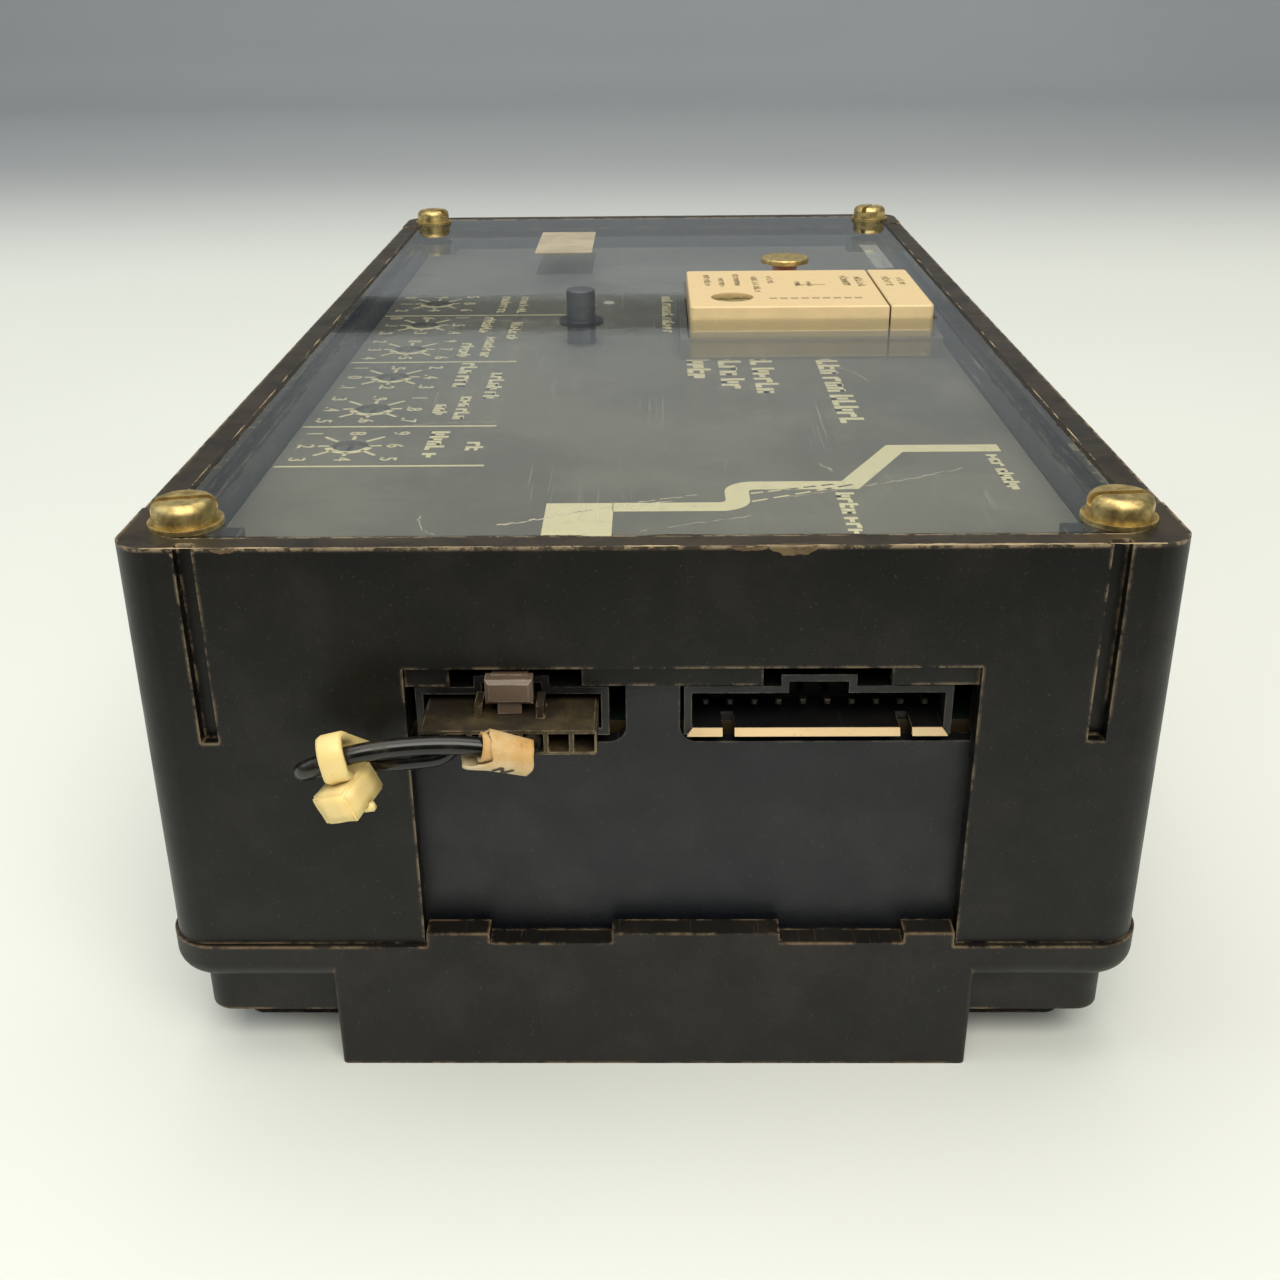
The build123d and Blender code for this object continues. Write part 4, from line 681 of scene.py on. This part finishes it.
def faceplate_print():
    """Ruled lines, dial figures, rows of made-up letters and the curve."""
    art = Artwork(FACE_HIGH.z)
    rng = random.Random(4)
    for y, right in ((-55.9, -20.9), (-38.9, -21.0), (-4.2, -21.2), (28.6, -10.9)):
        art.bar(PLATE_LEFT, right, y - 0.26, y + 0.26)
    scales = (
        ("3", "4", "5", "2", "6", "1", "8", "9"),
        (".5", ".6", ".7", ".4", ".8", ".3", ".9", "1"),
        (".1", ".2", ".3", "0", ".4", "1", ".5", "2"),
        ("4", "5", "6", "3", "7", "2", "8", "9"),
        (".2", ".3", ".4", ".1", ".5", "0", ".6", "1"),
        ("2", "4", "6", "1", "8", "0", "9", "5"),
    )
    for n, values in enumerate(scales):
        dial_print(art, DIAL_X, DIAL_FIRST_Y + n * DIAL_PITCH, values)
    # Each row of letters: its foot and top along X, then its two ends along Y.
    captions = (
        (-29.4, -26.9, -53.0, -41.3), (-24.1, -21.8, -50.2, -46.1), (-30.7, -28.6, -34.0, -28.3),
        (-27.5, -25.4, -36.0, -24.3), (-29.6, -27.0, -19.7, -5.0), (-24.4, -22.1, -25.4, -11.1),
        (-31.2, -29.0, -1.0, 8.0), (-27.5, -25.6, -1.9, 12.1), (-29.4, -27.4, 15.0, 27.0),
        (-24.3, -22.3, 9.2, 22.9), (-27.8, -25.9, 30.0, 44.2), (-24.2, -22.5, 29.8, 44.0),
        (2.0, 4.1, 14.3, 43.3), (42.4, 44.3, -66.2, -52.7), (21.8, 24.0, -80.3, -66.8),
        (5.6, 9.2, -15.7, -0.3), (10.5, 14.1, -23.3, 1.3), (15.5, 19.0, -25.2, 1.1),
        (25.8, 29.2, -40.8, -2.0),
    )
    for x0, x1, y0, y1 in captions:
        art.words(x0, x1, y0, y1, rng)
    curve_print(art)
    art.done("faceplate_print", PRINT, "case")


def rating_plug_print():
    """Rows of small made-up letters on the rating plug and its battery end, and a dashed line."""
    art = Artwork(RATING_TOP, 0.02)
    rng = random.Random(9)
    rows = ((9.0, 10.3, 12.5, 22.5), (11.4, 12.6, 12.5, 20.0), (14.0, 15.2, 12.5, 23.0),
            (17.0, 18.2, 8.0, 21.0), (19.6, 20.8, 14.0, 21.0), (24.0, 25.2, 12.5, 16.5),
            (26.0, 27.0, 12.5, 16.5), (32.0, 33.6, 12.0, 21.0), (34.4, 35.8, 12.5, 20.0))
    for x0, x1, y0, y1 in rows:
        art.words(x0, x1, y0, y1, rng)
    for n in range(9):
        art.bar(19.0 + 1.7 * n, 20.2 + 1.7 * n, 3.0, 3.9)
    art.bar(24.0, 29.0, 13.6, 14.1)
    art.done("rating_plug_print", PLUG_PRINT, "rating_plug")
    tray = Artwork(TRAY_TOP, 0.02)
    tray.words(39.0, 40.6, 13.0, 20.0, rng)
    tray.words(41.4, 42.6, 13.0, 19.0, rng)
    tray.done("battery_tray_print", PLUG_PRINT, "battery")


# Scratches and a hair on the clear cover, each a few points and a width in millimetres.
SCRATCHES = (
    (((-15.4, -92.9), (-12.2, -91.6), (-9.4, -90.2), (-6.1, -88.7)), 0.34),
    (((-7.6, -89.5), (-4.0, -87.9), (-0.6, -87.0), (2.2, -85.9)), 0.26),
    (((-3.4, -87.2), (0.5, -85.8), (4.9, -84.2)), 0.18),
    (((-1.0, -94.7), (5.0, -92.4), (10.2, -90.7)), 0.10),
    (((14.5, -84.9), (22.3, -82.0), (29.2, -78.9), (34.6, -75.8)), 0.12),
    (((18.8, -74.1), (20.5, -77.0)), 0.14),
    (((-23.6, -90.2), (-23.3, -92.2), (-22.6, -94.2), (-21.5, -95.4)), 0.10),
    (((24.0, -30.0), (27.5, -34.5), (29.0, -39.0)), 0.08),
    (((-35.0, -60.0), (-27.0, -57.5), (-18.0, -56.8)), 0.07),
    (((2.0, 52.0), (13.0, 49.0), (22.0, 47.5)), 0.10),
)


def cover_marks():
    """Milky scratches that break up along their length, and a faint strip near the right edge."""
    art = Artwork(COVER_HIGH.z, 0.012)
    rng = random.Random(21)
    for points, width in SCRATCHES:
        path = [Vector(p) for p in points]
        for a, b in zip(path, path[1:]):
            across = (b - a).normalized().orthogonal()
            steps = max(3, int((b - a).length / 0.55))
            for n in range(steps):
                if rng.random() < 0.12:
                    continue
                start, end = a.lerp(b, n / steps), a.lerp(b, (n + 1.15) / steps)
                shift = across * rng.uniform(-0.12, 0.12) * (1 + 3 * width)
                art.line(start + shift, end + shift, width * rng.uniform(0.45, 1.15))
    art.done("cover_scratches", MATERIALS["milky"], "cover")
    strip = Artwork(COVER_HIGH.z, 0.02)
    strip.bar(40.9, 44.3, 38.0, 61.4)
    strip.done("cover_strip", MATERIALS["film"], "cover")


def ragged_line(art, start, end, width, seed, keep=0.0):
    """A worn line from start to end whose width comes and goes along it."""
    a, b = Vector(start), Vector(end)
    steps = max(4, int((b - a).length / 0.3))
    across = (b - a).normalized().orthogonal()
    for n in range(steps):
        slow = soft_noise(Vector((n * 0.06, seed, 0.3)))
        quick = soft_noise(Vector((n * 0.45, seed, 4.1)))
        wave = slow + 0.35 * quick
        now = width * (keep + wave)
        if now < 0.04:
            continue
        shift = across * 0.2 * width * soft_noise(Vector((n * 0.4, seed, 9.2)))
        art.line(a.lerp(b, n / steps) + shift, a.lerp(b, (n + 1.1) / steps) + shift, now)


def rim_wear():
    """Bare worn lines on the front edge and beside the cover, grime round it and three chips."""
    side, front = CASE_HIGH.x / MM - 3.6, RIM_Y / MM
    gap_x, gap_y = COVER_HIGH.x / MM + 0.22, COVER_HIGH.y / MM + 0.22
    bare = Artwork(CASE_HIGH.z, 0.015)
    ragged_line(bare, (-side, front + 0.22), (-8.0, front + 0.22), 0.36, 1.0, 0.15)
    ragged_line(bare, (-8.0, front + 0.22), (24.0, front + 0.22), 0.5, 2.0, 0.2)
    ragged_line(bare, (24.0, front + 0.22), (side, front + 0.22), 0.5, 3.0, 0.45)
    grime = Artwork(CASE_HIGH.z, 0.02)
    for sign, seed in ((-1, 5.0), (1, 6.0)):
        x = sign * (gap_x + 0.15)
        ragged_line(grime, (x, -gap_y + 8), (x, gap_y - 8), 0.75, seed, 0.7)
        x = sign * (gap_x + 0.5)
        ragged_line(bare, (x, -gap_y + 8), (x, gap_y - 30), 0.22, seed + 4, 0.1)
    ragged_line(grime, (-gap_x + 9, -gap_y - 0.1), (gap_x - 9, -gap_y - 0.1), 0.35, 7.0, 0.25)
    grime.done("rim_grime", MATERIALS["grime"], "case")
    bare.done("rim_worn_line", MATERIALS["bare"], "case")
    for n, (x, wide, deep) in enumerate(((13.9, 4.8, 0.75), (9.6, 3.4, 0.22), (-41.5, 2.4, 0.3))):
        rim_chip(n, x, wide, deep)


def rim_chip(number, x, wide, deep):
    """Broken scar on the top front edge: a low ragged fan over the rim and down the face."""
    bm = bmesh.new()
    steps = 14
    rows = []
    for n in range(steps + 1):
        t = n / steps
        hump = math.sin(math.pi * t) ** 0.6 if 0 < t < 1 else 0.0
        rough = 1 + 0.5 * soft_noise(Vector((t * 7, number * 3.1, 0.5)))
        reach = deep * hump * rough + 0.03
        px = x + (t - 0.5) * wide
        top, edge = CASE_HIGH.z / MM, RIM_Y / MM
        rows.append([bm.verts.new(Vector(p) * MM) for p in (
            (px, edge + 0.8 * reach, top + 0.02), (px, edge + 0.15, top + 0.05),
            (px, edge - 0.05, top - 0.16), (px, edge - 0.03, top - 0.2 - reach))])
    for a, b in zip(rows, rows[1:]):
        for n in range(3):
            bm.faces.new((a[n], b[n], b[n + 1], a[n + 1]))
    bmesh.ops.solidify(bm, geom=bm.faces[:], thickness=0.05 * MM)
    mesh_piece(f"rim_chip_{number + 1}", bm, MATERIALS["scar"], "case")


faceplate_print()
rating_plug_print()
cover_marks()
rim_wear()

# ---------------------------------------------------------------- lip of the open header

# The lip's height, its reach to the front, the gap left at each side and the mitre, in millimetres.
LIP_RISE, LIP_RUN, LIP_SIDE, LIP_MITRE = 0.82, 0.6, 0.3, 0.6
# How far the two drains lie from the sides, and half the width of one.
LIP_DRAIN, DRAIN_HALF = 4.6, 0.62


def header_lip():
    """Bevel along the lower wall of the open header, mitred at its ends, cut by the drains."""
    low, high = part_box("open_header_shroud")
    left, right = low.x / MM, high.x / MM
    front, foot = low.y / MM, low.z / MM
    drains = (left + LIP_DRAIN, right - LIP_DRAIN)
    spans = (
        (left + LIP_SIDE, drains[0] - DRAIN_HALF, LIP_MITRE, 0.0),
        (drains[0] + DRAIN_HALF, drains[1] - DRAIN_HALF, 0.0, 0.0),
        (drains[1] + DRAIN_HALF, right - LIP_SIDE, 0.0, LIP_MITRE),
    )
    bm = bmesh.new()
    for x0, x1, mitre0, mitre1 in spans:
        ends = []
        for x, inset in ((x0, mitre0), (x1, -mitre1)):
            ends.append([bm.verts.new(Vector(p) * MM) for p in (
                (x, front - LIP_RUN, foot + 0.05), (x, front - 0.02, foot + 0.05),
                (x + inset, front - 0.02, foot + LIP_RISE),
                (x + inset, front - 0.12, foot + LIP_RISE))])
        a, b = ends
        join_rings(bm, a, b)
        bm.faces.new(a[::-1])
        bm.faces.new(b)
    bmesh.ops.bevel(bm, geom=bm.edges[:], offset=0.03 * MM, segments=1, affect="EDGES")
    # Its pale tan material is a painted highlight on the black header, with some dust.
    mesh_piece("open_header_lip", bm, MATERIALS["lip"], "case")


header_lip()

# ---------------------------------------------------------------- jumper, tie and marker


def dress_wire():
    """Puts the smooth wire in the place of the CAD wire."""
    curve = wire_curve()
    curve.data.materials.append(MATERIALS["wire"])
    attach(curve, "jumper")
    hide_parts("jumper_wire")
    return curve


def crossings(line, x):
    """Where the wire crosses the plane at x, and its way there, for each strand."""
    found = []
    for a, b in zip(line, line[1:]):
        if (a.x - x) * (b.x - x) < 0:
            found.append((a.lerp(b, (x - a.x) / (b.x - a.x)), (b - a).normalized()))
    return found


def sweep_rings(bm, rings, closed):
    """Joins rings of points into a tube; caps its ends unless closed."""
    rows = [[bm.verts.new(p) for p in ring] for ring in rings]
    pairs = list(zip(rows, rows[1:])) + ([(rows[-1], rows[0])] if closed else [])
    for a, b in pairs:
        join_rings(bm, a, b)
    if not closed:
        bm.faces.new(rows[0][::-1])
        bm.faces.new(rows[-1])


TIE_X = -30.6 * MM      # where the strap crosses the strands
TIE_WIDTH = 2.5 * MM
TIE_THICK = 0.95 * MM
TIE_GAP = 0.7 * MM      # slack above the strands
TIE_SLANT = 0.3         # how far the strap leans for each metre to the rear


def cable_tie(line):
    """Strap round both strands, a little askew, with softened edges."""
    (front, front_way), (rear, rear_way) = crossings(line, TIE_X)
    middle, along = (front + rear) / 2, (rear - front).normalized()
    normal = (front_way - rear_way).normalized()
    across = normal.cross(along).normalized()
    half, reach = (rear - front).length / 2, WIRE_D * MM / 2 + 0.15 * MM
    bm = bmesh.new()
    rings, steps = [], 48
    for n in range(steps):
        angle = 2 * math.pi * n / steps
        out = along * math.cos(angle) + across * math.sin(angle)
        shift = along * (half if math.cos(angle) > 0 else -half)
        slack = reach + TIE_GAP * max(0.0, out.z) ** 1.5 + 0.35 * MM * max(0.0, -out.z)
        ring = []
        for radius, side in ((0, -0.5), (0, 0.5), (0.8, 0.5), (1, 0.36), (1, -0.36), (0.8, -0.5)):
            spot = middle + shift + out * (slack + TIE_THICK * radius) + normal * side * TIE_WIDTH
            spot.x += TIE_SLANT * max(0.0, spot.y - front.y)
            ring.append(spot)
        rings.append(ring)
    sweep_rings(bm, rings, closed=True)
    strap = mesh_piece("cable_tie_strap", bm, MATERIALS["nylon"], "jumper", smooth=True)
    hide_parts("cable_tie")
    return strap, tie_head()


# The head's near upper corner, its ways back and left, and its size back, left and down.
HEAD_CORNER = (-29.5, -111.0, 42.5)
HEAD_BACK = (0.361, 0.915, 0.178)
HEAD_LEFT = (-0.846, 0.400, -0.352)
HEAD_SIZE = (5.7, 4.3, 3.4)


def tie_head():
    """Slightly uneven block with softened edges, narrower at the back, and a cut tail below it."""
    back = Vector(HEAD_BACK).normalized()
    up = back.cross(Vector(HEAD_LEFT)).normalized()
    left = up.cross(back).normalized()
    turn = Matrix((back, left, -up)).transposed().to_4x4()
    size = Vector(HEAD_SIZE) * MM
    bm = bmesh.new()
    bmesh.ops.create_cube(bm, size=1.0)
    bmesh.ops.scale(bm, vec=size, verts=bm.verts)
    bmesh.ops.bevel(bm, geom=bm.edges[:], offset=0.34 * MM, segments=3, affect="EDGES")
    bmesh.ops.subdivide_edges(bm, edges=bm.edges[:], cuts=2, use_grid_fill=True)
    for v in bm.verts:
        v.co += v.normal * 0.06 * MM * soft_noise(v.co / (1.3 * MM))
        v.co.y *= 1 - 0.10 * (v.co.x / size.x + 0.5)
    middle = Vector(HEAD_CORNER) * MM + turn.to_3x3() @ (size / 2)
    bmesh.ops.transform(bm, matrix=Matrix.Translation(middle) @ turn, verts=bm.verts)
    tail = bmesh.new()
    bmesh.ops.create_cube(tail, size=1.0)
    bmesh.ops.scale(tail, vec=(0.8 * MM, 1.5 * MM, 0.9 * MM), verts=tail.verts)
    bmesh.ops.bevel(tail, geom=tail.edges[:], offset=0.15 * MM, segments=2, affect="EDGES")
    spot = Vector(HEAD_CORNER) * MM + turn.to_3x3() @ Vector((2.6 * MM, 0.5 * MM, 3.5 * MM))
    bmesh.ops.transform(tail, matrix=Matrix.Translation(spot) @ turn, verts=tail.verts)
    extra = bpy.data.meshes.new("tail")
    tail.to_mesh(extra)
    tail.free()
    bm.from_mesh(extra)
    bpy.data.meshes.remove(extra)
    head = mesh_piece("cable_tie_head", bm, MATERIALS["nylon"], "jumper", smooth=True)
    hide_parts("cable_tie")
    return head


# How far the marker's ragged left end and its right end lie from its middle, by angle round the
# wire: front, front top, top, rear top, rear, rear bottom, bottom, front bottom.
MARKER_LEFT = (-1.25, -1.7, -2.1, -2.2, -3.0, -4.3, -4.1, -2.9)
MARKER_RIGHT = (2.75, 2.5, 2.3, 2.2, 2.2, 2.1, 1.9, 2.3)
SLEEVE_RADIUS, SLEEVE_TAPER = 1.92, 0.055   # millimetres, and how much it narrows to the right


def round_value(values, turn):
    """Value at a share of a turn, spread smoothly between the values given round it."""
    spot = (turn % 1) * len(values)
    n, share = int(spot), spot - int(spot)
    share = share * share * (3 - 2 * share)
    return values[n % len(values)] * (1 - share) + values[(n + 1) % len(values)] * share


def sleeve_radius(along):
    """Outer radius of the sleeve at a distance to the right of its middle, in millimetres."""
    return SLEEVE_RADIUS - SLEEVE_TAPER * along


def skin_tube(bm, outer, inner):
    """Joins two grids of rings into the wall of an open tube, closed at its two ends."""
    bands = list(zip(outer, outer[1:])) + list(zip(inner, inner[1:]))
    bands += [(outer[0], inner[0]), (outer[-1], inner[-1])]
    for a, b in bands:
        join_rings(bm, a, b)


def marker_sleeve():
    """Curled paper-like sleeve round one strand, its ragged lower lip longer than its top."""
    low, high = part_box("wire_marker")
    centre = (low + high) / 2 + Vector((0, -0.35, 0.05)) * MM
    steps, rows, thick = 40, 18, 0.34
    tilt = Matrix.Rotation(math.radians(13), 4, "Y")
    rings = []
    for row in range(rows):
        t = row / (rows - 1)
        outer, inner = [], []
        for n in range(steps):
            turn = n / steps
            angle = 2 * math.pi * turn
            left, right = round_value(MARKER_LEFT, turn), round_value(MARKER_RIGHT, turn)
            left += 0.16 * soft_noise(Vector((9 * turn, 0.3, 4.1)))
            along = left + (right - left) * t
            wave = 0.07 * soft_noise(Vector((4 * turn, 2.5 * t, 1.7)))
            radius = sleeve_radius(along) + wave
            if along < -2:
                radius += 0.10 * (-2 - along)
            for side, r in ((outer, radius), (inner, radius - thick)):
                place = Vector((along, -r * math.cos(angle), r * math.sin(angle))) * MM
                side.append(centre + tilt @ place)
        rings.append((outer, inner))
    bm = bmesh.new()
    skins = [[[bm.verts.new(p) for p in ring[which]] for ring in rings] for which in (0, 1)]
    skin_tube(bm, *skins)
    sleeve = mesh_piece("marker_sleeve", bm, MATERIALS["marker"], "jumper", smooth=True)
    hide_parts("wire_marker")
    return [sleeve, marker_inner_turn(centre, tilt), marker_mark(centre, tilt)]


def marker_inner_turn(centre, tilt):
    """Inner turn of the curl, its rim standing out round the strand at the ragged end."""
    steps, rows = 32, 8
    bm = bmesh.new()
    skins = []
    for thick in (0.0, -0.26):
        grid = []
        for row in range(rows):
            ring = []
            for n in range(steps):
                angle = 2 * math.pi * n / steps
                slant = 0.35 * math.cos(angle) * (1 - row / (rows - 1))
                along = -2.35 + 3.6 * row / (rows - 1) + slant
                lip = 0.14 * max(0.0, 1 - row / 2)
                radius = 1.36 + lip + thick
                place = Vector((along - 0.35, -radius * math.cos(angle) - 0.32,
                                radius * math.sin(angle) + 0.3)) * MM
                ring.append(bm.verts.new(centre + tilt @ place))
            grid.append(ring)
        skins.append(grid)
    skin_tube(bm, *skins)
    turn = mesh_piece("marker_inner_turn", bm, MATERIALS["marker"], "jumper", smooth=True)
    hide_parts("wire_marker")
    return turn


def marker_mark(centre, tilt):
    """Small inked zigzag on the lower front of the sleeve."""
    bm = bmesh.new()
    # Each stroke's two ends: a distance along the sleeve and degrees round it.
    strokes = (((-1.1, -40), (-0.2, -16)), ((-0.2, -16), (-0.1, -44)), ((-0.1, -44), (0.9, -18)))
    for (x0, a0), (x1, a1) in strokes:
        steps, left, right = 5, [], []
        for n in range(steps + 1):
            t = n / steps
            x, angle = x0 + (x1 - x0) * t, math.radians(a0 + (a1 - a0) * t)
            radius = sleeve_radius(x) + 0.09
            y, z = -radius * math.cos(angle), radius * math.sin(angle)
            for side, offset in ((left, -0.17), (right, 0.17)):
                place = Vector((x + offset, y, z)) * MM
                side.append(bm.verts.new(centre + tilt @ place))
        for n in range(steps):
            bm.faces.new((left[n], right[n], right[n + 1], left[n + 1]))
    bmesh.ops.solidify(bm, geom=bm.faces[:], thickness=0.03 * MM)
    mark = mesh_piece("marker_mark", bm, MATERIALS["smudge"], "jumper")
    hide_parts("wire_marker")
    return mark


jumper = dress_wire()
jumper_line = wire_line(jumper)
strap, head = cable_tie(jumper_line)
marker = marker_sleeve()

# ---------------------------------------------------------------- stage and light


def plain(name, colour, roughness):
    """Nearly even matt colour."""
    s = Surface(name)
    tone = s.mix(s.window(s.noise(0.25, 3), 0.3, 0.7), colour, shade(colour, 0.97))
    s.bump(s.noise(0.004, 3), 0.00004, 0.12)
    return s.finish(tone, roughness)


def stage_piece(name, bm, material, smooth=False):
    """Turns the bmesh into a piece of the stage, which isn't part of the object."""
    data = bpy.data.meshes.new(name)
    bm.to_mesh(data)
    bm.free()
    if smooth:
        data.shade_smooth()
    data.materials.append(material)
    made = link(name, data)
    return made


def backdrop():
    """Floor that sweeps up into a wall far behind the part."""
    half, front, bend, radius, height = 7.0, -5.0, 1.1, 0.5, 3.2
    profile = [(front, 0.0), (bend, 0.0)]
    for n in range(1, 17):
        a = math.pi / 2 * n / 16
        profile.append((bend + radius * math.sin(a), radius * (1 - math.cos(a))))
    profile.append((bend + radius, height))
    bm = bmesh.new()
    rows = [[bm.verts.new((x, y, z)) for x in (-half, half)] for y, z in profile]
    for a, b in zip(rows, rows[1:]):
        bm.faces.new((a[0], a[1], b[1], b[0]))
    stage_piece("floor", bm, floor_material(), smooth=True)


def floor_material():
    """Pale floor that turns grey towards the wall."""
    s = Surface("floor")
    away = s.node("ShaderNodeSeparateXYZ", {0: s.place}).outputs["Y"]
    base = s.mix(s.window(away, 0.32, 0.75), (0.80, 0.83, 0.79), (0.44, 0.465, 0.485))
    base = s.mix(s.window(s.noise(0.25, 3), 0.3, 0.7), base, (0.97, 0.97, 0.97), "MULTIPLY")
    s.bump(s.noise(0.004, 3), 0.00004, 0.12)
    return s.finish(base, 0.6)


def upright_card(name, y, corners, colour):
    """Matt card facing the part, seen by neither the camera nor soft light, only in reflections."""
    bm = bmesh.new()
    bm.faces.new([bm.verts.new((x, y, z)) for x, z in corners])
    card = stage_piece(name, bm, plain(name, colour, 0.9))
    card.visible_camera = False
    card.visible_diffuse = False
    return card


def dim_side():
    """Dark low card near the camera, which darkens what the faces of the connector end mirror."""
    corners = ((-0.45, 0.001), (0.45, 0.001), (0.38, 0.09), (-0.38, 0.09))
    card = upright_card("dark_card", -0.235, corners, (0.012, 0.012, 0.012))
    card.visible_shadow = False


def dim_band():
    """Dark strip high up behind the part, which the clear cover mirrors as a band."""
    corners = ((-0.6, 0.254), (0.16, 0.254), (0.16, 0.282), (-0.6, 0.282))
    upright_card("dim_band", 0.93, corners, (0.045, 0.052, 0.065))


def area_light(name, place, target, size, power, colour):
    """Rectangular lamp at a place, turned to its target."""
    data = bpy.data.lights.new(name, "AREA")
    data.shape = "RECTANGLE"
    data.size, data.size_y = size
    data.energy, data.color = power, colour
    lamp = link(name, data)
    lamp.location = place
    lamp.rotation_mode = "QUATERNION"
    lamp.rotation_quaternion = (Vector(target) - Vector(place)).to_track_quat("-Z", "Y")


def light_room():
    """Soft lamps above, behind the camera and on the left, and a dim blue-grey room."""
    world = bpy.data.worlds.new("room")
    world.use_nodes = True
    background = world.node_tree.nodes["Background"]
    background.inputs["Color"].default_value = (0.66, 0.72, 0.78, 1)
    background.inputs["Strength"].default_value = 0.3
    bpy.context.scene.world = world
    area_light("overhead", (-0.1, 0.1, 1.3), (0, 0, 0), (1.3, 1.1), 10.5, (1.0, 0.96, 0.87))
    area_light("key", (0.2, -0.95, 1.15), (0, -0.1, 0.03), (1.3, 0.8), 17, (1.0, 0.95, 0.84))
    area_light("left_fill", (-1.1, 0.0, 0.7), (0, 0, 0.03), (0.7, 0.7), 2.0, (0.85, 0.92, 1.0))
    bpy.context.scene.view_settings.view_transform = "Standard"


dim_side()
dim_band()
backdrop()
light_room()
